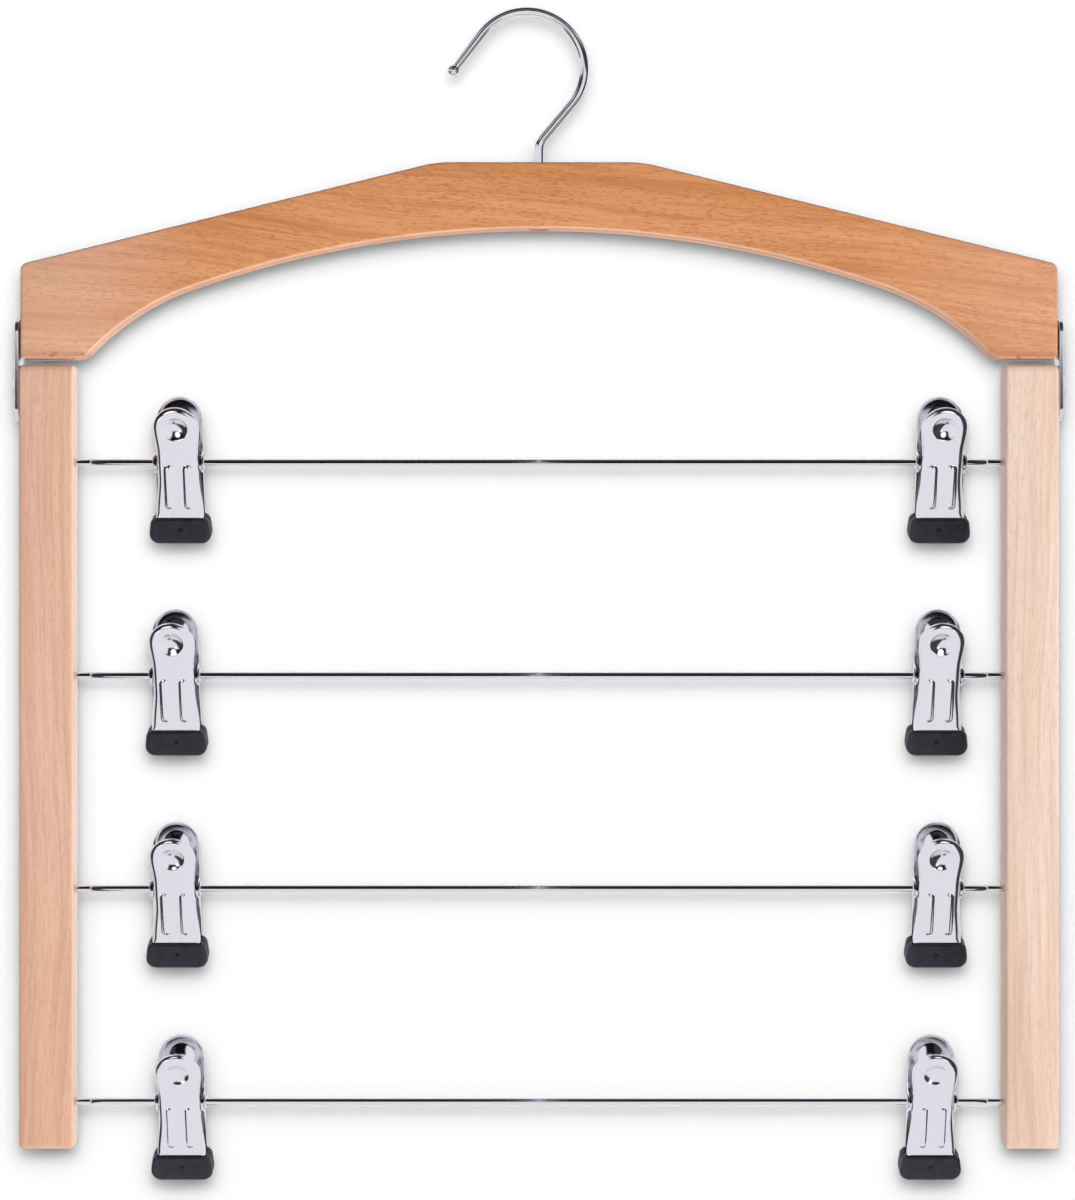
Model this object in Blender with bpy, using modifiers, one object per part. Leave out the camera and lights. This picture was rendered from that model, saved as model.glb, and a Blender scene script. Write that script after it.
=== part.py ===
"""Tiered clip hanger.

A beech arch with a turning wire hook carries a hinged frame of two beech rails and four
steel rods.  Two sprung clips slide and swing on each rod.

Frame: +Z up, -Y to the front, X along the rods.  The origin is the inside top of the hook,
where it rests on a closet rail.  The wood's mid-thickness lies at Y = 0.
"""
import math

import bmesh
import bpy
from mathutils import Matrix, Vector

MM = 0.001

# Clearances
FIT = 0.3 * MM                      # gap between neighbouring pieces
PAD_MEETING_GAP = 0.3 * MM          # gap between the two tips of a closed clip

# Hook
WIRE_RADIUS = 1.7 * MM
HOOK_BEND = 22.3 * MM               # centre-line radius of the large bend
HOOK_STEM_OFFSET = 4.7 * MM         # stem axis from the centre of the large bend
HOOK_NECK_DROP = 29.2 * MM          # corner of the neck below the centre of the bend
HOOK_NECK_BEND = 7.0 * MM
HOOK_TIP_REACH = 28.7 * MM          # free end beyond the centre of the bend
HOOK_TIP_DROP = 0.8 * MM
HOOK_BALL_RADIUS = 2.2 * MM
HOOK_HEAD_RADIUS = 3.6 * MM         # upset head under the arch
HOOK_HEAD_THICKNESS = 2.0 * MM

# Arch
ARCH_WIDTH = 402.4 * MM
ARCH_THICKNESS = 15.0 * MM
ARCH_TOP_DROP = 57.9 * MM           # flat top below the origin
ARCH_CROWN_HALF = 40.0 * MM         # half of the flat top
ARCH_SHOULDER_FALL = 39.5 * MM      # from the flat top to the outer corner
ARCH_END_HEIGHT = 36.8 * MM         # upright end below the outer corner
ARCH_CROWN_DEPTH = 25.6 * MM        # wood left over the middle of the curve
ARCH_CURVE_RADIUS = 410.0 * MM      # long curve of the underside
ARCH_CURVE_INSET = 65.9 * MM        # where the long curve stops, from the arch's end
ARCH_HAUNCH_RADIUS = 100.0 * MM     # tighter curve that leads on down to the foot
ARCH_CROWN_FILLET = 46.0 * MM
ARCH_SHOULDER_FILLET = 3.2 * MM
ARCH_END_FILLET = 2.0 * MM          # wider than WOOD_EDGE, which is cut inside it
ARCH_HEEL_FILLET = 7.0 * MM
WOOD_EDGE = 1.1 * MM                # rounding of the long wooden edges

# Rails
RAIL_WIDTH = 20.7 * MM
RAIL_PROUD = 0.5 * MM               # rails beyond the ends of the arch
RAIL_THICKNESS = 15.0 * MM
RAIL_LENGTH = 304.6 * MM
RAIL_END_ROUND = 3.2 * MM           # rounding of the rail's ends, seen from the side
RAIL_TOP_GAP = 2.3 * MM             # between the arch and a rail

# Straps and screws
STRAP_WIDTH = 12.0 * MM
STRAP_THICKNESS = 1.8 * MM
STRAP_ON_ARCH = 15.8 * MM
STRAP_ON_RAIL = 21.6 * MM
PIVOT_DROP = 6.7 * MM               # pivot below the top of the rail
PIVOT_SHANK_RADIUS = 1.8 * MM
PIVOT_SHANK_DEPTH = 13.0 * MM
PIVOT_HEAD_RADIUS = 3.1 * MM
PIVOT_HEAD_HEIGHT = 1.0 * MM
FIXING_SHANK_RADIUS = 1.5 * MM
FIXING_SHANK_DEPTH = 12.0 * MM
FIXING_SPACING = 7.6 * MM
FIXING_HEAD_RADIUS = 2.6 * MM
FIXING_HEAD_PROUD = 0.25 * MM

# Rods
ROD_RADIUS = 1.3 * MM
ROD_COUNT = 4
ROD_FIRST_DROP = 37.8 * MM          # first rod below the top of the rails
ROD_LAST_RISE = 17.5 * MM           # last rod above the lower end of the rails
ROD_SEAT_DEPTH = 9.0 * MM           # depth of a rod's hole in a rail

# Clips: distance of each clip's middle from the inner face of its rail, top rod first
CLIP_INSETS = {
    "left": (40.5 * MM, 38.9 * MM, 39.2 * MM, 41.2 * MM),
    "right": (24.2 * MM, 25.2 * MM, 25.4 * MM, 27.8 * MM),
}
CLIP_LEAN = math.radians(15.5)      # tabs to the front, tips to the back

# Clip plates, measured from the rod's centre in the clip's own frame
SHEET = 0.8 * MM
TAB_HEIGHT = 24.1 * MM
TAB_RADIUS = 8.9 * MM
TAB_SPREAD = 11.0 * MM              # outer face from the middle plane at the tab's top
WAIST_SPREAD = 6.2 * MM             # the same at the rod
TIP_SPREAD = 2.9 * MM               # the same at the lower end of the plate
PLATE_DROP = 30.3 * MM              # lower end of the plate below the rod
TAB_CURL = 1.2                      # how late the tab turns out; 1 is a straight tab
TIP_CURL = 1.3                      # how late the plate turns in towards the tip
FRONT_WAIST_HALF = 8.0 * MM
PLATE_SHOULDER_DROP = 21.0 * MM     # where the plate is widest, just above the tip
PLATE_SHOULDER_HALF = 9.4 * MM
PLATE_END_HALF = 8.7 * MM
RIM_FOLD = 0.9 * MM                 # chamfer where the rim turns back
RIM_DEPTH = 2.4 * MM                # depth of the turned rim
RIM_DEPTH_IN_TIP = 1.3 * MM
EAR_RADIUS = 4.0 * MM
EAR_CORNER = 0.75                   # corner of the eared rim, as a share of its radius
EAR_FOOT = 1.2                      # where the ear runs into the rim, the same
DIMPLE_RADIUS = 4.5 * MM
DIMPLE_DEPTH = 1.2 * MM
RIB_SPACING = 7.4 * MM
RIB_HALF_WIDTH = 1.7 * MM
RIB_CREST_HALF = 0.8 * MM
RIB_HEIGHT = 0.75 * MM
RIB_ROOT = 0.3 * MM                 # part of a rib that is sunk in the sheet
RIB_TOP_DROP = 0.2 * MM
RIB_LENGTH = 18.0 * MM

# Clip tips
PAD_HALF = 12.1 * MM
PAD_TOP_DROP = 22.0 * MM
PAD_BOTTOM_DROP = 32.0 * MM
PAD_CORNER = 3.2 * MM
PAD_WALL = 1.3 * MM                 # tip in front of the plate
PAD_EDGE = 0.6 * MM

# Pivot tube and spring
TUBE_RADIUS = 2.1 * MM
TUBE_FLARE_RADIUS = 3.1 * MM
TUBE_FLARE_THICKNESS = 0.5 * MM
SPRING_WIRE_RADIUS = 0.5 * MM
SPRING_COIL_RADIUS = 3.0 * MM
SPRING_PITCH = 1.5 * MM
SPRING_WHOLE_TURNS = 3
SPRING_LEG_HEIGHT = 10.4 * MM
SPRING_POINTS_PER_TURN = 8

# Facets
SAME_PLACE = 0.001 * MM             # points closer than this are one
HOOK_BEND_STEPS = 19
WIRE_RESOLUTION = 2
LONG_CURVE_STEPS = 9
HAUNCH_STEPS = 5
CORNER_STEPS = 3
STRAP_END_STEPS = 8
BORE_SIDES = 12
HEAD_SIDES = 16
SCREW_SIDES = 10
CLIP_SIDES = 8                      # round shapes of a clip
TAB_STEPS = 3                       # from a tab's side to its top

# Positions that follow from the sizes above
HOOK_CENTRE_Z = WIRE_RADIUS - HOOK_BEND
ARCH_X = HOOK_STEM_OFFSET
ARCH_TOP_Z = -ARCH_TOP_DROP
SHOULDER_Z = ARCH_TOP_Z - ARCH_SHOULDER_FALL
ARCH_FOOT_Z = SHOULDER_Z - ARCH_END_HEIGHT
CURVE_TOP_Z = ARCH_TOP_Z - ARCH_CROWN_DEPTH
ARCH_CURVE_HALF = ARCH_WIDTH / 2 - ARCH_CURVE_INSET
RAIL_TOP_Z = ARCH_FOOT_Z - RAIL_TOP_GAP
PIVOT_Z = RAIL_TOP_Z - PIVOT_DROP
RAIL_OUTER_HALF = ARCH_WIDTH / 2 + RAIL_PROUD
RAIL_INNER_HALF = RAIL_OUTER_HALF - RAIL_WIDTH
ROD_HALF = RAIL_INNER_HALF + ROD_SEAT_DEPTH - FIT
ROD_PITCH = (RAIL_LENGTH - ROD_FIRST_DROP - ROD_LAST_RISE) / (ROD_COUNT - 1)
TAB_CENTRE = TAB_HEIGHT - TAB_RADIUS
BACK_WAIST_HALF = FRONT_WAIST_HALF + SHEET + FIT
EAR_HOLE_RADIUS = TUBE_RADIUS + FIT
TUBE_HALF = BACK_WAIST_HALF + FIT + TUBE_FLARE_THICKNESS


def clear_scene():
    for obj in list(bpy.data.objects):
        bpy.data.objects.remove(obj, do_unlink=True)


def collection(name):
    made = bpy.data.collections.new(name)
    bpy.context.scene.collection.children.link(made)
    return made


clear_scene()
PARTS = collection("tiered_clip_hanger")
CUTTERS = collection("cutters")


def material(name, colour, roughness, metallic=0.0):
    made = bpy.data.materials.new(name)
    made.use_nodes = True
    shader = made.node_tree.nodes["Principled BSDF"]
    shader.inputs["Base Color"].default_value = (*colour, 1.0)
    shader.inputs["Roughness"].default_value = roughness
    shader.inputs["Metallic"].default_value = metallic
    return made


ARCH_BEECH = material("arch_beech", (0.68, 0.34, 0.14), 0.45)
RAIL_BEECH = material("rail_beech", (0.78, 0.50, 0.33), 0.50)
CHROME = material("chrome", (0.72, 0.72, 0.76), 0.12, 1.0)
STEEL = material("bright_steel", (0.60, 0.60, 0.62), 0.25, 1.0)
BLACK_VINYL = material("black_vinyl", (0.045, 0.04, 0.05), 0.40)


def empty(name, place, parent=None, rotation=(0.0, 0.0, 0.0)):
    made = bpy.data.objects.new(name, None)
    made.location = place
    made.rotation_euler = rotation
    made.parent = parent
    PARTS.objects.link(made)
    return made


def part(name, data, finish, parent=None, place=(0.0, 0.0, 0.0)):
    made = bpy.data.objects.new(name, data)
    made.location = place
    made.parent = parent
    if not data.materials:
        data.materials.append(finish)
    PARTS.objects.link(made)
    return made


def cutter(name, data, place=(0.0, 0.0, 0.0)):
    made = bpy.data.objects.new(name, data)
    made.location = place
    made.hide_render = True
    made.display_type = "WIRE"
    CUTTERS.objects.link(made)
    return made


def boolean(obj, tool, operation="DIFFERENCE"):
    step = obj.modifiers.new(operation.lower(), "BOOLEAN")
    step.operation = operation
    step.object = tool


def round_edges(obj, width, limit=55):
    step = obj.modifiers.new("round_edges", "BEVEL")
    step.width = width
    step.segments = 1
    step.limit_method = "ANGLE"
    step.angle_limit = math.radians(limit)


def evaluated_mesh(obj, name):
    """Return the object's mesh with its modifiers applied, shaded smooth but for its creases."""
    bpy.context.view_layer.update()
    depsgraph = bpy.context.evaluated_depsgraph_get()
    mesh = bpy.data.meshes.new_from_object(obj.evaluated_get(depsgraph))
    mesh.name = name
    weld(mesh)
    soften(mesh)
    return mesh


def weld(mesh):
    bm = bmesh.new()
    bm.from_mesh(mesh)
    bmesh.ops.remove_doubles(bm, verts=bm.verts, dist=SAME_PLACE)
    bm.to_mesh(mesh)
    bm.free()


def soften(mesh, crease=35):
    mesh.shade_smooth()
    mesh.set_sharp_from_angle(angle=math.radians(crease))


def mesh_of(bm, name, smooth=True):
    bmesh.ops.recalc_face_normals(bm, faces=bm.faces)
    mesh = bpy.data.meshes.new(name)
    bm.to_mesh(mesh)
    bm.free()
    if smooth:
        soften(mesh)
    return mesh


def arc(centre, radius, start, end, steps):
    """Points of an arc in a plane, angles in radians from the first axis."""
    points = []
    for i in range(steps + 1):
        angle = start + (end - start) * i / steps
        points.append((centre[0] + radius * math.cos(angle), centre[1] + radius * math.sin(angle)))
    return points


def filleted(corners, closed=True, steps=CORNER_STEPS):
    """Round each corner (a, b, radius) of an outline; a radius of 0 keeps the point."""
    count = len(corners)
    points = []
    for i, (a, b, radius) in enumerate(corners):
        open_end = not closed and i in (0, count - 1)
        if radius == 0 or open_end:
            points.append((a, b))
            continue
        here = Vector((a, b))
        before = (Vector(corners[i - 1][:2]) - here).normalized()
        after = (Vector(corners[(i + 1) % count][:2]) - here).normalized()
        half = before.angle(after) / 2
        centre = here + (before + after).normalized() * radius / math.sin(half)
        first = here + before * radius / math.tan(half) - centre
        turn = (math.pi - 2 * half) * (1 if before.cross(after) < 0 else -1)
        for k in range(steps + 1):
            spot = centre + Matrix.Rotation(turn * k / steps, 2) @ first
            points.append((spot.x, spot.y))
    return points


def slab(name, outline, depth, axis, low=None):
    """Extrude an outline of (a, b) points by depth along an axis, centred unless low is given."""
    low = -depth / 2 if low is None else low
    bm = bmesh.new()

    def spot(a, b):
        return (a, low, b) if axis == "Y" else (low, a, b)

    face = bm.faces.new([bm.verts.new(spot(a, b)) for a, b in outline])
    moved = bmesh.ops.extrude_face_region(bm, geom=[face])["geom"]
    shift = (0, depth, 0) if axis == "Y" else (depth, 0, 0)
    bmesh.ops.translate(bm, vec=shift, verts=[v for v in moved if isinstance(v, bmesh.types.BMVert)])
    return mesh_of(bm, name)


def cylinder(radius, low, high, axis, sides=BORE_SIDES, centre=(0.0, 0.0)):
    """Bmesh cylinder from low to high along X or Z, its other two coordinates at centre."""
    bm = bmesh.new()
    bmesh.ops.create_cone(bm, cap_ends=True, segments=sides, radius1=radius, radius2=radius, depth=high - low)
    middle = (low + high) / 2
    if axis == "X":
        bmesh.ops.rotate(bm, matrix=Matrix.Rotation(math.pi / 2, 3, "Y"), verts=bm.verts)
        bmesh.ops.translate(bm, vec=(middle, *centre), verts=bm.verts)
    else:
        bmesh.ops.translate(bm, vec=(*centre, middle), verts=bm.verts)
    return bm


def joined(name, pieces):
    """Put several bmeshes into one mesh."""
    whole = bmesh.new()
    for bm in pieces:
        piece = bpy.data.meshes.new("piece")
        bm.to_mesh(piece)
        bm.free()
        whole.from_mesh(piece)
        bpy.data.meshes.remove(piece)
    return mesh_of(whole, name)


def turned(name, profile, steps, closed=False):
    """Turn a profile of (radius, height) points about Z, listed down its outer side."""
    mesh = bpy.data.meshes.new(name)
    edges = [(i, i + 1) for i in range(len(profile) - 1)]
    if closed:
        edges.append((len(profile) - 1, 0))
    mesh.from_pydata([(radius, 0, height) for radius, height in profile], edges, [])
    guide = bpy.data.objects.new(name, mesh)
    CUTTERS.objects.link(guide)
    step = guide.modifiers.new("turn", "SCREW")
    step.axis = "Z"
    step.steps = step.render_steps = steps
    step.use_merge_vertices = True
    step.merge_threshold = SAME_PLACE
    solid = evaluated_mesh(guide, name)
    bpy.data.objects.remove(guide)
    return solid


def wire_curve(name, points, radius, resolution):
    curve = bpy.data.curves.new(name, "CURVE")
    curve.dimensions = "3D"
    curve.bevel_depth = radius
    curve.bevel_resolution = resolution
    curve.use_fill_caps = True
    spline = curve.splines.new("POLY")
    spline.points.add(len(points) - 1)
    for point, place in zip(spline.points, points):
        point.co = (*place, 1.0)
    return curve


def hook_path():
    """Centre line of the hook from its head under the arch to its free end, in X and Z."""
    centre = Vector((0.0, HOOK_CENTRE_Z))
    neck = Vector((HOOK_STEM_OFFSET, HOOK_CENTRE_Z - HOOK_NECK_DROP))
    tip = Vector((-HOOK_TIP_REACH, HOOK_CENTRE_Z - HOOK_TIP_DROP))
    to_neck = neck - centre
    to_tip = tip - centre
    start = math.atan2(to_neck.y, to_neck.x) + math.acos(HOOK_BEND / to_neck.length)
    end = math.atan2(to_tip.y, to_tip.x) % (2 * math.pi) - math.acos(HOOK_BEND / to_tip.length)
    bend = arc(centre, HOOK_BEND, start, end, HOOK_BEND_STEPS)
    foot = (HOOK_STEM_OFFSET, CURVE_TOP_Z + FIT + HOOK_HEAD_THICKNESS / 2)
    stem = filleted([(*foot, 0), (*neck, HOOK_NECK_BEND), (*bend[0], 0)], closed=False)
    return stem[:-1] + bend + [tuple(tip)]


def make_hook(parent):
    points = [(x, 0.0, z) for x, z in hook_path()]
    curve = wire_curve("hook_wire", points, WIRE_RADIUS, WIRE_RESOLUTION)
    guide = bpy.data.objects.new("hook_wire", curve)
    CUTTERS.objects.link(guide)
    wire = evaluated_mesh(guide, "hook")
    bpy.data.objects.remove(guide)
    hook = part("hook", wire, CHROME, parent)

    ball = bmesh.new()
    bmesh.ops.create_uvsphere(ball, u_segments=10, v_segments=7, radius=HOOK_BALL_RADIUS)
    bmesh.ops.translate(ball, vec=points[-1], verts=ball.verts)
    head_low = CURVE_TOP_Z + FIT
    head = cylinder(HOOK_HEAD_RADIUS, head_low, head_low + HOOK_HEAD_THICKNESS, "Z", HEAD_SIDES,
                    (HOOK_STEM_OFFSET, 0.0))
    ends = cutter("hook_ends", joined("hook_ends", [ball, head]))
    boolean(hook, ends, "UNION")
    return hook


def arch_half():
    """Right half of the arch's outline about its own middle, from the top to the underside."""
    drop = ARCH_CURVE_RADIUS - math.sqrt(ARCH_CURVE_RADIUS ** 2 - ARCH_CURVE_HALF ** 2)
    lean = math.asin(ARCH_CURVE_HALF / ARCH_CURVE_RADIUS)
    haunch = (ARCH_CURVE_HALF - ARCH_HAUNCH_RADIUS * math.sin(lean),
              CURVE_TOP_Z - drop - ARCH_HAUNCH_RADIUS * math.cos(lean))
    foot_lean = math.acos((ARCH_FOOT_Z - haunch[1]) / ARCH_HAUNCH_RADIUS)
    tight = arc(haunch, ARCH_HAUNCH_RADIUS, math.pi / 2 - foot_lean, math.pi / 2 - lean, HAUNCH_STEPS)
    long = arc((0.0, CURVE_TOP_Z - ARCH_CURVE_RADIUS), ARCH_CURVE_RADIUS,
               math.pi / 2 - lean, math.pi / 2, LONG_CURVE_STEPS)
    half = ARCH_WIDTH / 2
    outer = filleted([(0.0, ARCH_TOP_Z, 0),
                      (ARCH_CROWN_HALF, ARCH_TOP_Z, ARCH_CROWN_FILLET),
                      (half, SHOULDER_Z, ARCH_SHOULDER_FILLET),
                      (half, ARCH_FOOT_Z, ARCH_END_FILLET),
                      (*tight[0], ARCH_HEEL_FILLET),
                      (*tight[1], 0)], closed=False)
    return outer + tight[2:] + long[1:]


def make_arch(parent):
    right = arch_half()
    left = [(-x, z) for x, z in reversed(right[1:-1])]
    arch = part("arch", slab("arch", right + left, ARCH_THICKNESS, "Y"), ARCH_BEECH, parent, (ARCH_X, 0, 0))
    round_edges(arch, WOOD_EDGE)

    bore = cylinder(WIRE_RADIUS + FIT, CURVE_TOP_Z - FIT, ARCH_TOP_Z + FIT, "Z")
    counterbore = cylinder(HOOK_HEAD_RADIUS + FIT, CURVE_TOP_Z - HOOK_HEAD_THICKNESS,
                           CURVE_TOP_Z + HOOK_HEAD_THICKNESS + 2 * FIT, "Z", HEAD_SIDES)
    boolean(arch, cutter("stem_bore", joined("stem_bore", [bore]), (ARCH_X, 0, 0)))
    boolean(arch, cutter("head_bore", joined("head_bore", [counterbore]), (ARCH_X, 0, 0)))

    screw_holes = []
    for side in (-1, 1):
        for z in fixing_heights():
            ends = sorted((side * (ARCH_WIDTH / 2 - FIXING_SHANK_DEPTH - FIT), side * (ARCH_WIDTH / 2 + FIT)))
            screw_holes.append(cylinder(FIXING_SHANK_RADIUS + FIT, *ends, "X", SCREW_SIDES, (0.0, z)))
    boolean(arch, cutter("fixing_holes", joined("fixing_holes", screw_holes), (ARCH_X, 0, 0)))
    return arch


def fixing_heights():
    """Heights of the two screws that fix a strap to the arch."""
    middle = ARCH_FOOT_Z + STRAP_ON_ARCH / 2
    return (middle - FIXING_SPACING / 2, middle + FIXING_SPACING / 2)


def make_strap(side_name, side, parent):
    """Strap on the outer face of a rail, with the two screws that fix it to the arch."""
    top = ARCH_FOOT_Z + STRAP_ON_ARCH
    bottom = RAIL_TOP_Z - STRAP_ON_RAIL
    half = STRAP_WIDTH / 2
    outline = arc((0.0, top - half), half, 0.0, math.pi, STRAP_END_STEPS)
    outline += arc((0.0, bottom + half), half, math.pi, 2 * math.pi, STRAP_END_STEPS)
    face = side * (RAIL_OUTER_HALF + FIT)
    back = side * (RAIL_OUTER_HALF + FIT + STRAP_THICKNESS)
    name = "strap_" + side_name
    strap = part(name, slab(name, outline, STRAP_THICKNESS, "X", min(face, back)), STEEL, parent,
                 (ARCH_X, 0, 0))

    hole = cylinder(PIVOT_SHANK_RADIUS + FIT, *sorted((face - side * FIT, back + side * FIT)), "X",
                    centre=(0.0, PIVOT_Z))
    boolean(strap, cutter(name + "_hole", joined(name + "_hole", [hole]), (ARCH_X, 0, 0)))

    inner = side * (ARCH_WIDTH / 2 - FIXING_SHANK_DEPTH)
    shanks = [cylinder(FIXING_SHANK_RADIUS, *sorted((inner, back - side * FIT)), "X", SCREW_SIDES, (0.0, z))
              for z in fixing_heights()]
    heads = [cylinder(FIXING_HEAD_RADIUS, *sorted((back - side * FIT, back + side * FIXING_HEAD_PROUD)),
                      "X", centre=(0.0, z)) for z in fixing_heights()]
    boolean(strap, cutter(name + "_shanks", joined(name + "_shanks", shanks), (ARCH_X, 0, 0)), "UNION")
    boolean(strap, cutter(name + "_heads", joined(name + "_heads", heads), (ARCH_X, 0, 0)), "UNION")
    return strap


def make_pivot_screw(side_name, side, parent):
    """Domed screw through the strap into the rail; its parent lies on the pivot axis."""
    seat = RAIL_OUTER_HALF + 2 * FIT + STRAP_THICKNESS
    shank_end = RAIL_OUTER_HALF - PIVOT_SHANK_DEPTH
    dome = arc((0.0, seat), PIVOT_HEAD_RADIUS, math.pi / 2, 0.0, CORNER_STEPS)
    flatten = PIVOT_HEAD_HEIGHT / PIVOT_HEAD_RADIUS
    profile = [(radius, seat + (height - seat) * flatten) for radius, height in dome]
    profile[0] = (0.0, seat + PIVOT_HEAD_HEIGHT)
    profile += [(PIVOT_SHANK_RADIUS, seat), (PIVOT_SHANK_RADIUS, shank_end + PIVOT_SHANK_RADIUS),
                (0.0, shank_end)]
    name = "pivot_screw_" + side_name
    screw = part(name, turned(name, profile, SCREW_SIDES), STEEL, parent)
    screw.rotation_euler = (0.0, side * math.pi / 2, 0.0)
    return screw


def make_rail(side_name, side, parent):
    """Rail with rounded ends; its holes take the rods and the pivot screw."""
    half = RAIL_THICKNESS / 2
    top = RAIL_TOP_Z - PIVOT_Z
    bottom = top - RAIL_LENGTH
    outline = filleted([(-half, top, RAIL_END_ROUND), (half, top, RAIL_END_ROUND),
                        (half, bottom, RAIL_END_ROUND), (-half, bottom, RAIL_END_ROUND)])
    name = "rail_" + side_name
    low = min(side * RAIL_INNER_HALF, side * RAIL_OUTER_HALF)
    rail = part(name, slab(name, outline, RAIL_WIDTH, "X", low), RAIL_BEECH, parent)
    round_edges(rail, WOOD_EDGE)

    outer = side * (RAIL_OUTER_HALF + FIT)
    pivot_end = side * (RAIL_OUTER_HALF - PIVOT_SHANK_DEPTH - FIT)
    holes = [cylinder(PIVOT_SHANK_RADIUS + FIT, *sorted((pivot_end, outer)), "X")]
    for z in rod_heights():
        ends = sorted((side * (RAIL_INNER_HALF - FIT), side * (RAIL_INNER_HALF + ROD_SEAT_DEPTH)))
        holes.append(cylinder(ROD_RADIUS + FIT, *ends, "X", SCREW_SIDES, (0.0, z - PIVOT_Z)))
    place = (ARCH_X, 0, PIVOT_Z)
    boolean(rail, cutter(name + "_holes", joined(name + "_holes", holes), place))
    return rail


def rod_heights():
    first = RAIL_TOP_Z - ROD_FIRST_DROP
    return [first - ROD_PITCH * i for i in range(ROD_COUNT)]


def make_rod(number, z, parent):
    name = "rod_%d" % number
    bm = cylinder(ROD_RADIUS, -ROD_HALF, ROD_HALF, "X", centre=(0.0, z - PIVOT_Z))
    return part(name, mesh_of(bm, name), CHROME, parent)


def plate_spread(z):
    """Distance of a plate's outer face from the clip's middle plane at height z."""
    if z >= 0:
        share = z / TAB_HEIGHT
        return WAIST_SPREAD + (TAB_SPREAD - WAIST_SPREAD) * share ** TAB_CURL
    share = -z / PLATE_DROP
    return WAIST_SPREAD + (TIP_SPREAD - WAIST_SPREAD) * share ** TIP_CURL


def plate_rows(waist_half):
    """Rows of a plate from its lower end to the tab's centre: height, half-width, rim depth."""
    ear = EAR_CORNER * EAR_RADIUS
    ear_side = math.sqrt(EAR_RADIUS ** 2 - ear ** 2)
    return [
        (-PLATE_DROP, PLATE_END_HALF, RIM_DEPTH_IN_TIP),
        (-PLATE_SHOULDER_DROP, PLATE_SHOULDER_HALF, RIM_DEPTH_IN_TIP),
        (-EAR_FOOT * EAR_RADIUS, waist_half, RIM_DEPTH + SHEET),
        (-ear, waist_half, plate_spread(-ear) + ear_side),
        (0.0, waist_half, WAIST_SPREAD + EAR_RADIUS),
        (ear, waist_half, plate_spread(ear) + ear_side),
        (EAR_FOOT * EAR_RADIUS, waist_half, RIM_DEPTH + SHEET),
    ]


def plate_rings(waist_half):
    """Right-hand points (x, z, depth behind the face) of each row: rim, fold and face edge."""
    rings = []
    for z, half, depth in plate_rows(waist_half):
        rings.append(((half, z, depth), (half, z, RIM_FOLD), (half - RIM_FOLD, z, 0.0)))
    inner = TAB_RADIUS - RIM_FOLD
    for step in range(TAB_STEPS + 1):
        angle = math.pi / 2 * step / TAB_STEPS
        c, s = math.cos(angle), math.sin(angle)
        outside = (TAB_RADIUS * c, TAB_CENTRE + TAB_RADIUS * s)
        rings.append(((*outside, RIM_DEPTH), (*outside, RIM_FOLD), (inner * c, TAB_CENTRE + inner * s, 0.0)))
    return rings


def plate_skin(name, waist_half):
    """Outer surface of a front plate: face, folded edge and turned rim with its two ears."""
    bm = bmesh.new()
    rows = []
    for ring in plate_rings(waist_half):
        row = []
        for side in (-1, 1):
            points = ring if side < 0 else reversed(ring)
            for x, z, depth in points:
                if side > 0 and x < SAME_PLACE:
                    continue
                row.append(bm.verts.new((side * x, depth - plate_spread(z), z)))
        rows.append(row)
    top = rows.pop()
    for low, high in zip(rows, rows[1:]):
        for i in range(5):
            bm.faces.new((low[i], low[i + 1], high[i + 1], high[i]))
    last = rows[-1]
    bm.faces.new((last[0], last[1], top[1], top[0]))
    bm.faces.new((last[1], last[2], top[2], top[1]))
    bm.faces.new((last[2], last[3], top[2]))
    bm.faces.new((last[3], last[4], top[1], top[2]))
    bm.faces.new((last[4], last[5], top[0], top[1]))
    mesh = bpy.data.meshes.new(name)
    bm.to_mesh(mesh)
    bm.free()
    return mesh


def face_frame(z, inset):
    """Matrix whose +Z is the inward normal of a front plate's face at height z."""
    step = 0.5 * MM
    slope = (plate_spread(z + step) - plate_spread(z - step)) / (2 * step)
    inward = Vector((0.0, 1.0, slope)).normalized()
    place = Vector((0.0, -plate_spread(z), z)) + inward * inset
    return Matrix.Translation(place) @ inward.to_track_quat("Z", "Y").to_matrix().to_4x4()


def dish(radius, depth, inset):
    """Flattened ball on the face at the tab's centre."""
    bm = bmesh.new()
    bmesh.ops.create_uvsphere(bm, u_segments=CLIP_SIDES, v_segments=CLIP_SIDES // 2, radius=1.0)
    bmesh.ops.scale(bm, vec=(radius, radius, depth), verts=bm.verts)
    bmesh.ops.transform(bm, matrix=face_frame(TAB_CENTRE, inset), verts=bm.verts)
    return bm


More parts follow.
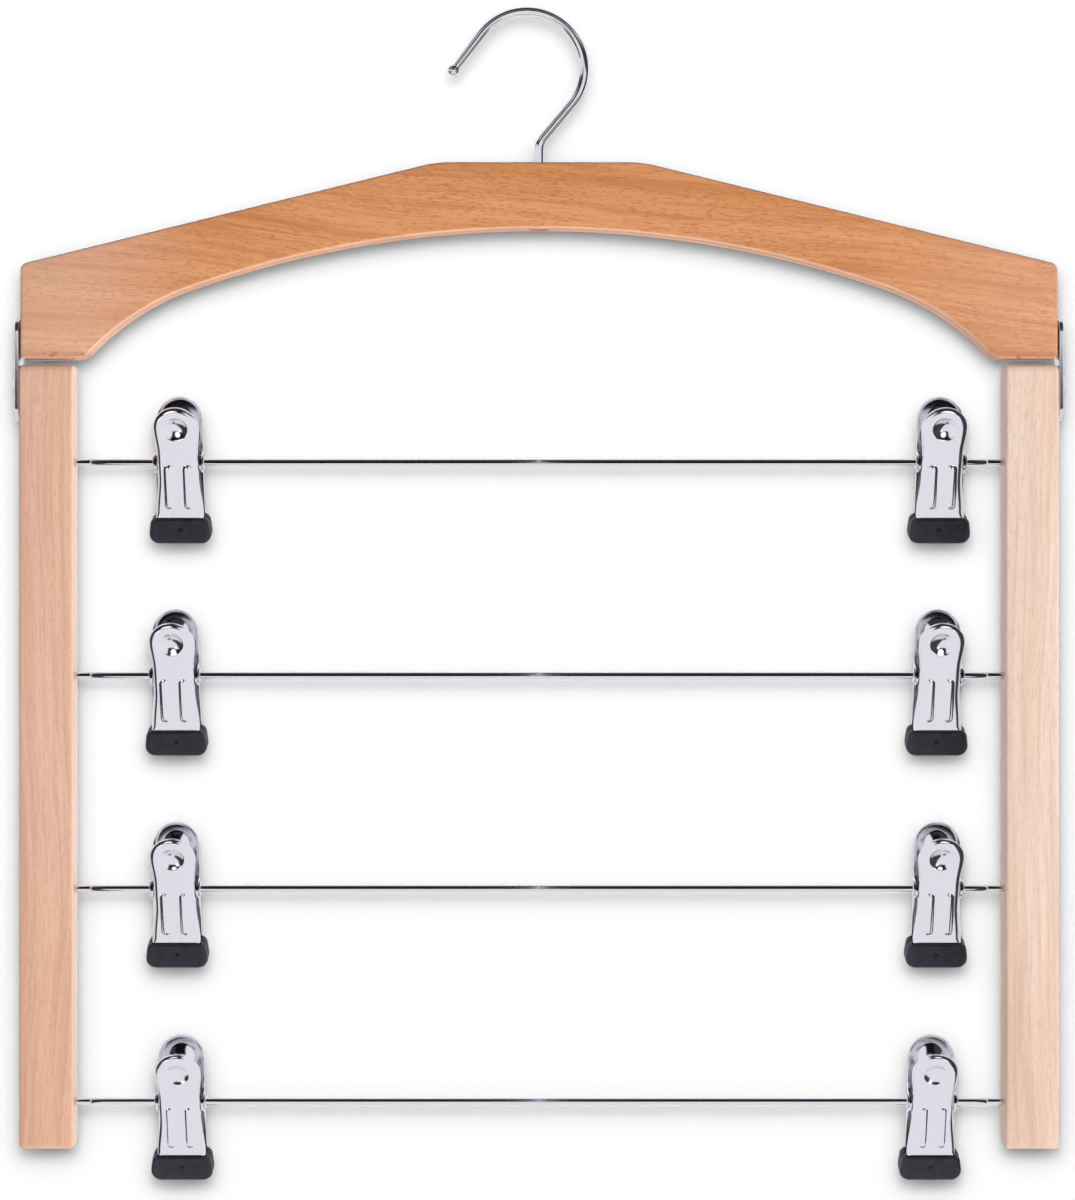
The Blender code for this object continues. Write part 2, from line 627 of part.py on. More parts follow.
def rib(x):
    """Long rounded rib on the face below the rod."""
    bm = bmesh.new()
    bmesh.ops.create_cone(bm, cap_ends=True, segments=CLIP_SIDES, radius1=RIB_HALF_WIDTH,
                          radius2=RIB_CREST_HALF, depth=RIB_HEIGHT + RIB_ROOT)
    bmesh.ops.rotate(bm, matrix=Matrix.Rotation(math.pi / CLIP_SIDES, 3, "Z"), verts=bm.verts)
    bmesh.ops.rotate(bm, matrix=Matrix.Rotation(math.pi / 2, 3, "X"), verts=bm.verts)
    bmesh.ops.translate(bm, vec=(0.0, (RIB_ROOT - RIB_HEIGHT) / 2, 0.0), verts=bm.verts)
    half = RIB_LENGTH / 2 - RIB_HALF_WIDTH
    for vert in bm.verts:
        vert.co.z += half if vert.co.z > 0 else -half
    top, bottom = -RIB_TOP_DROP, -RIB_TOP_DROP - RIB_LENGTH
    slope = (plate_spread(top) - plate_spread(bottom)) / RIB_LENGTH
    middle = (plate_spread(top) + plate_spread(bottom)) / 2
    bmesh.ops.rotate(bm, matrix=Matrix.Rotation(math.atan(slope), 3, "X"), verts=bm.verts)
    bmesh.ops.translate(bm, vec=(x, -middle, (top + bottom) / 2), verts=bm.verts)
    return bm


def jaw_mesh(name, waist_half, facing):
    """Pressed plate; facing is -1 for the front jaw and 1 for the back jaw."""
    jaw = part(name, plate_skin(name, waist_half), CHROME)
    shell = jaw.modifiers.new("sheet", "SOLIDIFY")
    shell.thickness = SHEET
    shell.offset = -1.0
    shell.use_even_offset = True
    raised = [rib(-RIB_SPACING / 2), rib(RIB_SPACING / 2),
              dish(DIMPLE_RADIUS + SHEET / 2, DIMPLE_DEPTH, SHEET)]
    pressed = [dish(DIMPLE_RADIUS, DIMPLE_DEPTH, 0.0),
               cylinder(EAR_HOLE_RADIUS, -2 * waist_half, 2 * waist_half, "X", CLIP_SIDES)]
    tools = [cutter(name + "_raised", joined(name + "_raised", raised)),
             cutter(name + "_pressed", joined(name + "_pressed", pressed))]
    boolean(jaw, tools[0], "UNION")
    boolean(jaw, tools[1])
    mesh = evaluated_mesh(jaw, name)
    for obj in [jaw] + tools:
        bpy.data.objects.remove(obj)
    if facing > 0:
        mesh.transform(Matrix.Rotation(math.pi, 4, "Z"))
    return mesh


def pad_mesh(name, facing):
    """Slip-on tip with a pocket that holds the end of a plate."""
    inner = PAD_MEETING_GAP / 2
    top, bottom = -PAD_TOP_DROP, -PAD_BOTTOM_DROP
    outline = filleted([(-PAD_HALF, bottom, PAD_CORNER), (PAD_HALF, bottom, PAD_CORNER),
                        (PAD_HALF, top, PAD_CORNER / 2), (-PAD_HALF, top, PAD_CORNER / 2)],
                       steps=CORNER_STEPS - 1)
    mesh = slab(name, outline, 1.0, "Y", -1.0)
    for vert in mesh.vertices:
        outside = vert.co.y < -0.5
        vert.co.y = -(plate_spread(vert.co.z) + PAD_WALL) if outside else -inner
    pad = part(name, mesh, BLACK_VINYL)
    round_edges(pad, PAD_EDGE)

    low, high = -PLATE_DROP - FIT, top + FIT
    half = PLATE_SHOULDER_HALF + FIT
    pocket = slab(name + "_pocket", [(-half, low), (half, low), (half, high), (-half, high)], 1.0, "Y", -1.0)
    for vert in pocket.vertices:
        face = plate_spread(vert.co.z)
        vert.co.y = -(face + FIT) if vert.co.y < -0.5 else -(face - RIM_DEPTH_IN_TIP - FIT)
    tool = cutter(name + "_pocket", pocket)
    boolean(pad, tool)
    solid = evaluated_mesh(pad, name)
    for obj in (pad, tool):
        bpy.data.objects.remove(obj)
    if facing > 0:
        solid.transform(Matrix.Rotation(math.pi, 4, "Z"))
    return solid


def tube_mesh():
    """Hollow rivet about X, its ends flared over the ears of the back jaw."""
    bore = ROD_RADIUS + FIT
    shoulder = TUBE_HALF - TUBE_FLARE_THICKNESS
    profile = [(bore, TUBE_HALF), (TUBE_FLARE_RADIUS, TUBE_HALF), (TUBE_FLARE_RADIUS, shoulder),
               (TUBE_RADIUS, shoulder), (TUBE_RADIUS, -shoulder), (TUBE_FLARE_RADIUS, -shoulder),
               (TUBE_FLARE_RADIUS, -TUBE_HALF), (bore, -TUBE_HALF)]
    mesh = turned("pivot_tube", profile, CLIP_SIDES, closed=True)
    mesh.transform(Matrix.Rotation(math.pi / 2, 4, "Y"))
    return mesh


def spring_path():
    """Centre line of the torsion spring: front leg, coil about the tube, back leg."""
    leg_y = plate_spread(SPRING_LEG_HEIGHT) - SHEET - FIT - SPRING_WIRE_RADIUS
    reach = math.hypot(leg_y, SPRING_LEG_HEIGHT)
    tangent = math.sqrt(reach ** 2 - SPRING_COIL_RADIUS ** 2)
    start = math.atan2(tangent * leg_y - SPRING_COIL_RADIUS * SPRING_LEG_HEIGHT,
                       SPRING_COIL_RADIUS * leg_y + tangent * SPRING_LEG_HEIGHT)
    sweep = math.pi - 2 * start + 2 * math.pi * SPRING_WHOLE_TURNS
    steps = round(sweep / (2 * math.pi) * SPRING_POINTS_PER_TURN)
    rise = SPRING_PITCH * sweep / (2 * math.pi)
    coil = []
    for i in range(steps + 1):
        angle = start + sweep * i / steps
        coil.append((rise * (i / steps - 0.5), -SPRING_COIL_RADIUS * math.cos(angle),
                     -SPRING_COIL_RADIUS * math.sin(angle)))
    ends = [(-rise / 2, -leg_y, SPRING_LEG_HEIGHT), (rise / 2, leg_y, SPRING_LEG_HEIGHT)]
    return ends[:1] + coil + ends[1:]


def least_spring_gap(points):
    """Least gap between turns of the spring, from points a half turn or more apart."""
    apart = SPRING_POINTS_PER_TURN // 2
    centres = [Vector(p) for p in points]
    spans = [(a - b).length for i, a in enumerate(centres) for b in centres[i + apart:]]
    return min(spans) - 2 * SPRING_WIRE_RADIUS


def make_clips(frame_parent):
    meshes = {
        "front_jaw": (jaw_mesh("front_jaw", FRONT_WAIST_HALF, -1), CHROME),
        "back_jaw": (jaw_mesh("back_jaw", BACK_WAIST_HALF, 1), CHROME),
        "front_pad": (pad_mesh("front_pad", -1), BLACK_VINYL),
        "back_pad": (pad_mesh("back_pad", 1), BLACK_VINYL),
        "pivot_tube": (tube_mesh(), STEEL),
        "spring": (wire_curve("spring", spring_path(), SPRING_WIRE_RADIUS, 1), STEEL),
    }
    print("least gap between the turns of a spring: %.2f mm" % (least_spring_gap(spring_path()) / MM))
    for number, z in enumerate(rod_heights(), start=1):
        for side_name, side in (("left", -1), ("right", 1)):
            place = side * (RAIL_INNER_HALF - CLIP_INSETS[side_name][number - 1])
            name = "clip_%d_%s" % (number, side_name)
            holder = empty(name + "_pivot", (place, 0.0, z - PIVOT_Z), frame_parent, (CLIP_LEAN, 0.0, 0.0))
            for piece, (mesh, finish) in meshes.items():
                part(name + "_" + piece, mesh, finish, holder)


def main():
    whole = empty("hanger", (0.0, 0.0, 0.0))
    make_hook(whole)
    make_arch(whole)
    frame_pivot = empty("frame_pivot", (ARCH_X, 0.0, PIVOT_Z), whole)
    for side_name, side in (("left", -1), ("right", 1)):
        make_strap(side_name, side, whole)
        make_pivot_screw(side_name, side, frame_pivot)
        make_rail(side_name, side, frame_pivot)
    for number, z in enumerate(rod_heights(), start=1):
        make_rod(number, z, frame_pivot)
    make_clips(frame_pivot)


main()
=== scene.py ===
"""Looks of the tiered clip hanger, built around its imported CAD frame.

The wooden arch and rails, the wire hook, the straps, the rods and the eight sprung clips are
made again with fine surfaces in the places that the frame gives.  Each has its own finish.

Frame: +Z up, -Y to the front, X along the rods, metres.
"""
import math

import bmesh
import bpy
from mathutils import Matrix, Vector


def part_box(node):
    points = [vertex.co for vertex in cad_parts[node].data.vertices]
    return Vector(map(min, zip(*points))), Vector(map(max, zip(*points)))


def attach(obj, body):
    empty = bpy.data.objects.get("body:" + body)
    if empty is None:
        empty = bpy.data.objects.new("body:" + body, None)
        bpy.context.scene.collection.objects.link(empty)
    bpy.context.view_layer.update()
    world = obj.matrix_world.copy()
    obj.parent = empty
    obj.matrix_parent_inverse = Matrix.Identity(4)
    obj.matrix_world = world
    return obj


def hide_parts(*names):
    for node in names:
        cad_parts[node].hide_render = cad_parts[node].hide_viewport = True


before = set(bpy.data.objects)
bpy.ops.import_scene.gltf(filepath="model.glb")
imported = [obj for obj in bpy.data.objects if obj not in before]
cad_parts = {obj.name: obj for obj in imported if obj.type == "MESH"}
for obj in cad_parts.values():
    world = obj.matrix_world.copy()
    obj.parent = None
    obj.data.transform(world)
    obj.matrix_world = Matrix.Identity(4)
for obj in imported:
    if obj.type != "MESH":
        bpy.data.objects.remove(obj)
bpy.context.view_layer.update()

MM = 0.001
SIDES = {"left": -1, "right": 1}

# Clearances
FIT = 0.3 * MM
SAME_PLACE = 0.001 * MM

# Angles between faces
CREASE = math.radians(35)  # sharper edges aren't smoothed
BEVEL_ANGLE = math.radians(55)  # sharper edges are rounded

# Sizes that the frame's boxes give
ARCH_LOW, ARCH_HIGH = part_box("arch")
ARCH_X = (ARCH_LOW.x + ARCH_HIGH.x) / 2
ARCH_WIDTH = ARCH_HIGH.x - ARCH_LOW.x
ARCH_THICKNESS = ARCH_HIGH.y - ARCH_LOW.y
ARCH_TOP_Z = ARCH_HIGH.z
ARCH_FOOT_Z = ARCH_LOW.z
RAIL_LOW, RAIL_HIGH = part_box("rail_right")
RAIL_OUTER_HALF = RAIL_HIGH.x - ARCH_X
ROD_HEIGHTS = []
for number in range(1, 5):
    rod_low, rod_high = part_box("rod_%d" % number)
    ROD_HEIGHTS.append((rod_low.z + rod_high.z) / 2)
ROD_RADIUS = (rod_high.z - rod_low.z) / 2
PIVOT_LOW, PIVOT_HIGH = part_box("pivot_screw_right")
PIVOT_Z = (PIVOT_LOW.z + PIVOT_HIGH.z) / 2

# Hook
WIRE_RADIUS = 1.7 * MM
HOOK_BEND = 22.3 * MM
HOOK_CENTRE_Z = WIRE_RADIUS - HOOK_BEND
HOOK_STEM_OFFSET = 4.7 * MM
HOOK_NECK_DROP = 29.2 * MM
HOOK_NECK_BEND = 7.0 * MM
HOOK_TIP_REACH = 28.7 * MM
HOOK_TIP_DROP = 0.8 * MM
HOOK_BALL_RADIUS = 2.2 * MM
HOOK_HEAD_RADIUS = 3.6 * MM
HOOK_HEAD_THICKNESS = 2.0 * MM
HOOK_HEAD_EDGE = 0.4 * MM

# Arch
ARCH_CROWN_HALF = 40.0 * MM
ARCH_SHOULDER_FALL = 39.5 * MM
SHOULDER_Z = ARCH_TOP_Z - ARCH_SHOULDER_FALL
ARCH_CROWN_DEPTH = 25.6 * MM
CURVE_TOP_Z = ARCH_TOP_Z - ARCH_CROWN_DEPTH
ARCH_CURVE_RADIUS = 410.0 * MM
ARCH_CURVE_INSET = 65.9 * MM
ARCH_CURVE_HALF = ARCH_WIDTH / 2 - ARCH_CURVE_INSET
ARCH_HAUNCH_RADIUS = 100.0 * MM
ARCH_CROWN_FILLET = 46.0 * MM
ARCH_SHOULDER_FILLET = 3.2 * MM
ARCH_END_FILLET = 2.0 * MM
ARCH_HEEL_FILLET = 7.0 * MM
WOOD_EDGE = 1.1 * MM

# Rails
RAIL_END_ROUND = 3.2 * MM
ROD_SEAT_DEPTH = 9.0 * MM
ROD_EDGE = 0.3 * MM

# Straps and screws
STRAP_THICKNESS = 1.8 * MM
STRAP_EDGE = 0.35 * MM
STRAP_ON_ARCH = 15.8 * MM
PIVOT_SHANK_RADIUS = 1.8 * MM
PIVOT_SHANK_DEPTH = 13.0 * MM
PIVOT_HEAD_RADIUS = 3.1 * MM
PIVOT_HEAD_HEIGHT = 1.0 * MM
FIXING_SHANK_RADIUS = 1.5 * MM
FIXING_SHANK_DEPTH = 12.0 * MM
FIXING_SPACING = 7.6 * MM
FIXING_HEAD_RADIUS = 2.6 * MM
FIXING_HEAD_PROUD = 0.25 * MM
FIXING_HEAD_DEPTH = 1.2 * MM
FIXING_FLAT_SHARE = 0.75  # flat part of the head, as a share of its radius
FIXING_RIM_SHARE = 0.2  # height of its rim, as a share of how proud it stands
HEAD_GAP = 0.08 * MM  # fine line round a countersunk head
CROSS_ARM = 0.62 * MM  # half-width of the cross recess
CROSS_SHARE = 0.62  # its reach as a share of the head's radius
CROSS_DEPTH = 0.7 * MM

# Clip plates, measured from the rod's centre in the clip's own frame
CLIP_LEAN = math.radians(15.5)
SHEET = 0.8 * MM
TAB_HEIGHT = 24.1 * MM
TAB_RADIUS = 8.9 * MM
TAB_CENTRE = TAB_HEIGHT - TAB_RADIUS
TAB_SPREAD = 11.0 * MM
WAIST_SPREAD = 6.2 * MM
TIP_SPREAD = 2.9 * MM
PLATE_DROP = 30.3 * MM
WAIST_SLOPE = 0.11
FRONT_WAIST_HALF = 8.0 * MM
BACK_WAIST_HALF = FRONT_WAIST_HALF + SHEET + FIT
PLATE_SHOULDER_DROP = 21.0 * MM
PLATE_SHOULDER_HALF = 9.4 * MM
PLATE_END_HALF = 8.7 * MM
FRONT_FOLD = 2.2 * MM  # round fold between face and rim
BACK_FOLD = 1.2 * MM
RIM_DEPTH = 2.4 * MM
RIM_DEPTH_IN_TIP = 1.3 * MM
RIM_NARROWS_DROP = 19.5 * MM  # below this the rim gets shallower, to enter the tip
RIM_SHALLOW_DROP = PLATE_SHOULDER_DROP + 0.8 * MM
RIM_STRAIGHT = 0.15 * MM  # least flat part of the rim below its fold
EAR_RADIUS = 4.0 * MM
EAR_FOOT = 4.8 * MM  # where the ear runs into the rim
EAR_HOLE_RADIUS = 2.4 * MM
DIMPLE_RADIUS = 4.7 * MM
DIMPLE_DEPTH = 1.85 * MM
DIMPLE_LIP = 0.3 * MM
RIB_SPACING = 7.4 * MM
RIB_HALF_WIDTH = 1.75 * MM
RIB_CREST_HALF = 0.7 * MM
RIB_HEIGHT = 0.62 * MM
RIB_STRAIGHT_SHARE = 0.7  # of a rib's wall; the rest is rounded
RIB_TOP = 0.45 * MM
RIB_BOTTOM = -17.8 * MM

# Clip tips
PAD_MEETING_GAP = 0.3 * MM
PAD_HALF = 12.1 * MM
PAD_TOP_HALF = 11.2 * MM
PAD_TOP_DROP = 21.6 * MM
PAD_WIDEST_DROP = 28.0 * MM
PAD_BOTTOM_DROP = 32.0 * MM
PAD_CORNER = 3.7 * MM
PAD_TOP_CORNER = 2.4 * MM
PAD_SIDE_CORNER = 6.0 * MM
PAD_TAPER = 0.5 * MM  # on each side, from its widest place to its lower end
PAD_WALL = 1.3 * MM
PAD_EDGE = 1.5 * MM
PAD_CROWN = 0.25 * MM  # swelling of the tip's front
PAD_DENT = Vector((0.0, -25.7 * MM))
PAD_DENT_RADIUS = 1.5 * MM
PAD_DENT_DEPTH = 0.6 * MM
PAD_FACE_SHARES = (0.93, 0.84, 0.74, 0.64, 0.54, 0.44, 0.36, 0.30, 0.25, 0.20, 0.16, 0.13, 0.11, 0.09,
                   0.07, 0.05, 0.035, 0.02, 0.0)  # rings of the front, close together in the dent

# Pivot tube and spring
TUBE_RADIUS = 2.1 * MM
TUBE_FLARE_RADIUS = 3.1 * MM
TUBE_FLARE_THICKNESS = 0.5 * MM
TUBE_HALF = BACK_WAIST_HALF + FIT + TUBE_FLARE_THICKNESS
TUBE_EDGE = 0.2 * MM
SPRING_WIRE_RADIUS = 0.5 * MM
SPRING_COIL_RADIUS = 3.0 * MM
SPRING_PITCH = 1.5 * MM
SPRING_WHOLE_TURNS = 3
SPRING_LEG_HEIGHT = 10.4 * MM
SPRING_TURN_STEPS = 28
SPRING_OVERLAP_STEPS = 3  # how far the coil runs on past the back leg's root

# Steps of round shapes
ROUND_SIDES = 40
HOOK_SIDES = 28
ROD_SIDES = 36
SPRING_SIDES = 12
HOOK_BEND_STEPS = 96
BALL_STEPS = 14
ARCH_CURVE_STEPS = 36
ARCH_HAUNCH_STEPS = 14
STRAP_END_STEPS = 28
DOME_STEPS = 10
FOLD_STEPS = 8
TAB_STEPS = 22
PAD_EDGE_STEPS = 5

# Rows of a plate in millimetres, closest where its shape changes: runs of first height, step and count
LOW_PLATE_ROWS = (-25, -22, -21.2, -20.4, -19.5)
PLATE_ROW_RUNS = ((-18.8, 0.4, 7), (-15.0, 2.0, 5), (-5.4, 0.3, 37), (6.6, 1.0, 3), (9.6, 0.4, 14))

# Camera, from the photograph's own perspective
CAMERA_PLACE = (4.1 * MM, -1.19, -0.2008)
CAMERA_LENS = 91.5  # on a 36 mm sensor
CAMERA_SHIFT_Y = -0.058

# Drop shadow on a far wall, measured on the object's middle plane as the camera sees it
WALL_Y = 1.8
WALL_DROP = 0.17  # of its middle below the camera
WALL_SIZE = (1.4, 1.5)
WALL_ALBEDO = 0.1
WALL_GLOW = 0.02
SHADE_POWER = 3260.0
SHADOW_DROP = 3.2 * MM
SHADOW_BLURS = ((2.8 * MM, 0.33), (6.0 * MM, 0.30), (12.0 * MM, 0.37))  # radius and share of each

# Fineness of the beech's noises: along the grain, through its depth and across it
WANDER_SCALE = 5.0
GROWTH_SCALES = (5.0, 55.0, 95.0)
STREAK_SCALES = (16.0, 300.0, 520.0)
FIBRE_SCALES = (110.0, 1500.0, 2300.0)
FLECK_SCALES = (330.0, 900.0, 1500.0)
FLECK_FIELD_SCALES = (22.0, 60.0, 110.0)
PORE_SCALE = 1400.0
SPOT_SCALE = 260.0

# Pale, warm and dark shade of each piece of beech
ARCH_SHADES = ((0.74, 0.33, 0.132), (0.65, 0.26, 0.084), (0.45, 0.15, 0.042))
LEFT_SHADES = ((0.81, 0.51, 0.37), (0.74, 0.435, 0.287), (0.57, 0.31, 0.205))
RIGHT_SHADES = ((0.88, 0.69, 0.58), (0.83, 0.61, 0.47), (0.64, 0.43, 0.32))

# Where the beech's tints begin and where they are full
PALE_ENDS = (0.12, 0.19)  # distance from the arch's middle
FOOT_BAND = (ARCH_FOOT_Z + 3.4 * MM, ARCH_FOOT_Z + 1.6 * MM)
DEEP_TONE = (-0.31, -0.42)  # height on the rails

# Colours of the other finishes
WIRE_COLOUR = (0.82, 0.82, 0.86)
PLATE_COLOUR = (0.84, 0.84, 0.89)
STEEL_COLOUR = (0.74, 0.74, 0.79)
VINYL_DEEP = (0.0065, 0.0055, 0.013)
VINYL_BLOOM = (0.018, 0.016, 0.031)

# Colours of the studio
WHITE = (1.0, 1.0, 1.0)
BLACK = (0.0, 0.0, 0.0)
STUDIO_PALE = (0.86, 0.86, 0.89)
STUDIO_DARK = (0.035, 0.033, 0.045)
STUDIO_ROSY = (0.80, 0.72, 0.72)
SOFT_LOW = (1.22, 1.19, 1.17)
SOFT_HIGH = (0.55, 0.55, 0.59)
FLOOR_SHADE = (0.55, 0.57, 0.60)
FLOOR_MATT = (0.85, 0.85, 0.85)

# Cards that the metal mirrors
FRONT_CARD_Y = -0.40
FRONT_CARD_WIDTH = 1.9
RAIL_CARD_REACH = 0.175  # from the arch's middle
RAIL_CARD_Z = -0.27
RAIL_CARD_HEIGHT = 0.32


class Socket:
    """An output of a shader node, with the arithmetic that the finishes use."""

    def __init__(self, tree, output):
        self.tree = tree
        self.output = output

    def maths(self, operation, *values):
        return self.tree.node("Math", {"operation": operation}, dict(enumerate(values)))

    def __add__(self, other):
        return self.maths("ADD", self, other)

    def __radd__(self, other):
        return self.maths("ADD", other, self)

    def __sub__(self, other):
        return self.maths("SUBTRACT", self, other)

    def __rsub__(self, other):
        return self.maths("SUBTRACT", other, self)

    def __mul__(self, other):
        return self.maths("MULTIPLY", self, other)

    def __rmul__(self, other):
        return self.maths("MULTIPLY", other, self)

    def __truediv__(self, other):
        return self.maths("DIVIDE", self, other)

    def __pow__(self, other):
        return self.maths("POWER", self, other)

    def __abs__(self):
        return self.maths("ABSOLUTE", self)


class Tree:
    """Node tree of a material or of the world."""

    def __init__(self, owner):
        owner.use_nodes = True
        self.tree = owner.node_tree
        self.tree.nodes.clear()

    def node(self, kind, settings=None, values=None, output=0):
        """Add a node: its settings first, then the values or links of its sockets."""
        made = self.tree.nodes.new("ShaderNode" + kind)
        for key, value in (settings or {}).items():
            setattr(made, key, value)
        for key, value in (values or {}).items():
            self.feed(self.pick(made.inputs, key), value)
        return Socket(self, self.pick(made.outputs, output)) if len(made.outputs) else made

    def pick(self, sockets, key):
        """Find one of a node's sockets that are in use, by its place or its name."""
        used = [socket for socket in sockets if socket.enabled]
        return used[key] if isinstance(key, int) else next(socket for socket in used if socket.name == key)

    def feed(self, socket, value):
        if isinstance(value, Socket):
            self.tree.links.new(value.output, socket)
        elif socket.type == "RGBA" and len(value) == 3:
            socket.default_value = (*value, 1.0)
        else:
            socket.default_value = value

    def mix(self, share, first, second):
        """Mix two colours."""
        return self.node("Mix", {"data_type": "RGBA"}, {"Factor": share, "A": first, "B": second})

    def scaled(self, vector, factors):
        return self.node("VectorMath", {"operation": "MULTIPLY"}, {0: vector, 1: factors})

    def part(self, vector, axis):
        return self.node("SeparateXYZ", None, {0: vector}, output=axis)

    def noise(self, place, scales, detail=2.0, roughness=0.5):
        """Soft noise; scales is its fineness along each axis, or one number for all."""
        if isinstance(scales, float):
            scales = (scales,) * 3
        vector = self.scaled(place, scales)
        values = {"Vector": vector, "Scale": 1.0, "Detail": detail, "Roughness": roughness}
        return self.node("TexNoise", None, values)

    def step(self, value, low, high):
        """Rise smoothly from 0 at low to 1 at high; falls where low is above high."""
        ends = {1: low, 2: high} if low < high else {1: high, 2: low, 3: 1.0, 4: 0.0}
        return self.node("MapRange", {"interpolation_type": "SMOOTHSTEP"}, {0: value, **ends})

    def glow(self, colour, strength):
        return self.node("Emission", None, {"Color": colour, "Strength": strength})

    def surface(self, shader, output="OutputMaterial"):
        self.node(output, None, {"Surface": shader})


class Finish(Tree):
    """A material whose shader takes constants on its own sockets and links from nodes."""

    def __init__(self, name, slot=None):
        self.material = bpy.data.materials.new(name)
        self.slot = slot
        super().__init__(self.material)

    def place(self):
        return self.node("TexCoord", output="Object")

    def bump(self, height, strength, distance):
        values = {"Height": height, "Strength": strength, "Distance": distance}
        return self.node("Bump", None, values)

    def shade(self, **values):
        """Add the shader; its sockets are given by their names in small letters."""
        names = {key.replace("_", " ").title().replace("Ior", "IOR"): value for key, value in values.items()}
        self.surface(self.node("BsdfPrincipled", None, names))


def beech(name, slot, along, shades, shift, drift=0.0, painted_light_side=False):
    """Lacquered beech with its grain along one axis: growth bands, fibres, flecks and end grain."""
    pale, warm, dark = shades
    wood = Finish(name, slot)
    place = wood.node("VectorMath", {"operation": "ADD"}, {0: wood.place(), 1: shift})
    x, y, z = (wood.part(place, axis) for axis in ("X", "Y", "Z"))
    lengthwise, across = (x, z) if along == "X" else (z, x)
    wander = wood.noise(place, WANDER_SCALE, detail=1.0) - 0.5
    across = across + lengthwise * drift + wander * 0.022
    grain = wood.node("CombineXYZ", None, {0: lengthwise, 1: y, 2: across})
    growth = wood.noise(grain, GROWTH_SCALES, detail=3.0, roughness=0.6)
    streaks = wood.noise(grain, STREAK_SCALES, detail=3.0, roughness=0.65)
    fibres = wood.noise(grain, FIBRE_SCALES, roughness=0.6)
    flecks = wood.noise(grain, FLECK_SCALES, detail=1.0)
    fleck_field = wood.noise(grain, FLECK_FIELD_SCALES, detail=1.0)
    fleck = wood.step(flecks + fleck_field * 0.22, 0.665, 0.78)
    colour = wood.mix(wood.step(growth, 0.34, 0.66), warm, pale)
    colour = wood.mix(wood.step(streaks, 0.42, 0.72) * 0.5, colour, dark)
    colour = wood.mix(wood.step(fibres, 0.45, 0.72) * 0.40, colour, dark)
    colour = wood.mix(fleck * (0.5 if along == "X" else 0.3), colour, dark)
    normal = wood.node("TexCoord", output="Normal")
    end_grain = wood.step(abs(wood.part(normal, along)), 0.75, 0.97)
    pores = wood.step(wood.noise(place, PORE_SCALE), 0.4, 0.7)
    colour = wood.mix(end_grain * 0.7, colour, wood.mix(pores * 0.5, warm, dark))
    if along == "X":
        colour = arch_tints(wood, colour, place, normal, dark)
    else:
        colour = rail_tints(wood, colour, normal, painted_light_side)
    height = fibres * 0.5 + streaks * 0.5 - fleck
    wood.shade(base_color=colour, roughness=0.42 + fibres * 0.14,
                 normal=wood.bump(height, 0.25, 0.06 * MM), coat_weight=0.12, coat_roughness=0.25)
    return wood


def arch_tints(wood, colour, place, normal, dark):
    """Painted shade greys the arch's upper front edge and painted light pales its lower front edge; also its
    pale ends and the dark band at its foot.
    """
    facing = wood.part(normal, "Z")
    front = wood.step(wood.part(normal, "Y"), -0.15, -0.45)
    # painted shade: the upper front edge, facing up, greyed as if less light fell on it from above
    colour = wood.mix(front * wood.step(facing, 0.2, 0.6) * 0.6, colour, (0.33, 0.21, 0.21))
    # painted light: the lower front edge, facing down, paler as if lit from below
    colour = wood.mix(front * wood.step(facing, -0.2, -0.6) * 0.3, colour, (1.0, 0.85, 0.78))
    beyond = wood.part(wood.place(), "X") - ARCH_X
    start, full = PALE_ENDS
    pale_ends = wood.step(beyond, -start, -full) * 0.17 + wood.step(beyond, start, full) * 0.07
    colour = wood.mix(pale_ends, colour, (1.0, 0.93, 0.93))
    spots = wood.step(wood.noise(place, SPOT_SCALE, detail=1.0), 0.55, 0.68)
    band = wood.step(wood.part(wood.place(), "Z"), *FOOT_BAND)
    return wood.mix(band * (0.35 + 0.6 * spots), colour, dark)


def rail_tints(wood, colour, normal, painted_light_side):
    """Deeper tone low on the rail; one rail also has painted light on its side toward the clips, paler where
    the key light from the right falls.
    """
    if painted_light_side:
        # painted light: the side toward the clips made paler, standing in for the key light and sheen that
        # fall on it
        inner = wood.step(wood.part(normal, "X"), 0.6, 0.95)
        colour = wood.mix(inner * 0.32, colour, (1.0, 0.93, 0.88))
    low = wood.step(wood.part(wood.place(), "Z"), *DEEP_TONE)
    return wood.mix(low, colour, wood.scaled(colour, (0.95, 0.89, 0.84)))


def chrome(name, slot, colour, smooth, grainy):
    """Plated metal: nearly a mirror, with faint haze and a pressed sheet's fine unevenness."""
    finish = Finish(name, slot)
    place = finish.place()
    haze = finish.noise(place, 900.0)
    speck = finish.noise(place, 2600.0, detail=1.0)
    swell = finish.noise(place, 160.0, detail=1.0)
    hazed = tuple(0.86 * share for share in colour)
    tint = finish.mix(finish.step(haze, 0.3, 0.75) * 0.2, colour, hazed)
    finish.shade(base_color=tint, metallic=1.0, roughness=smooth + haze * 0.08,
                 normal=finish.bump(speck * 0.35 + swell, grainy, 0.08 * MM))
    return finish


def vinyl(name, slot):
    """Dipped black vinyl: soft sheen, slightly uneven skin, a paler bloom where it is worn."""
    finish = Finish(name, slot)
    place = finish.place()
    cloud = finish.noise(place, 130.0, detail=3.0)
    skin = finish.noise(place, 1300.0)
    colour = finish.mix(finish.step(cloud, 0.38, 0.68), VINYL_DEEP, VINYL_BLOOM)
    finish.shade(base_color=colour, roughness=0.40 + skin * 0.16,
                 normal=finish.bump(skin, 0.3, 0.08 * MM), specular_ior_level=0.42)
    return finish


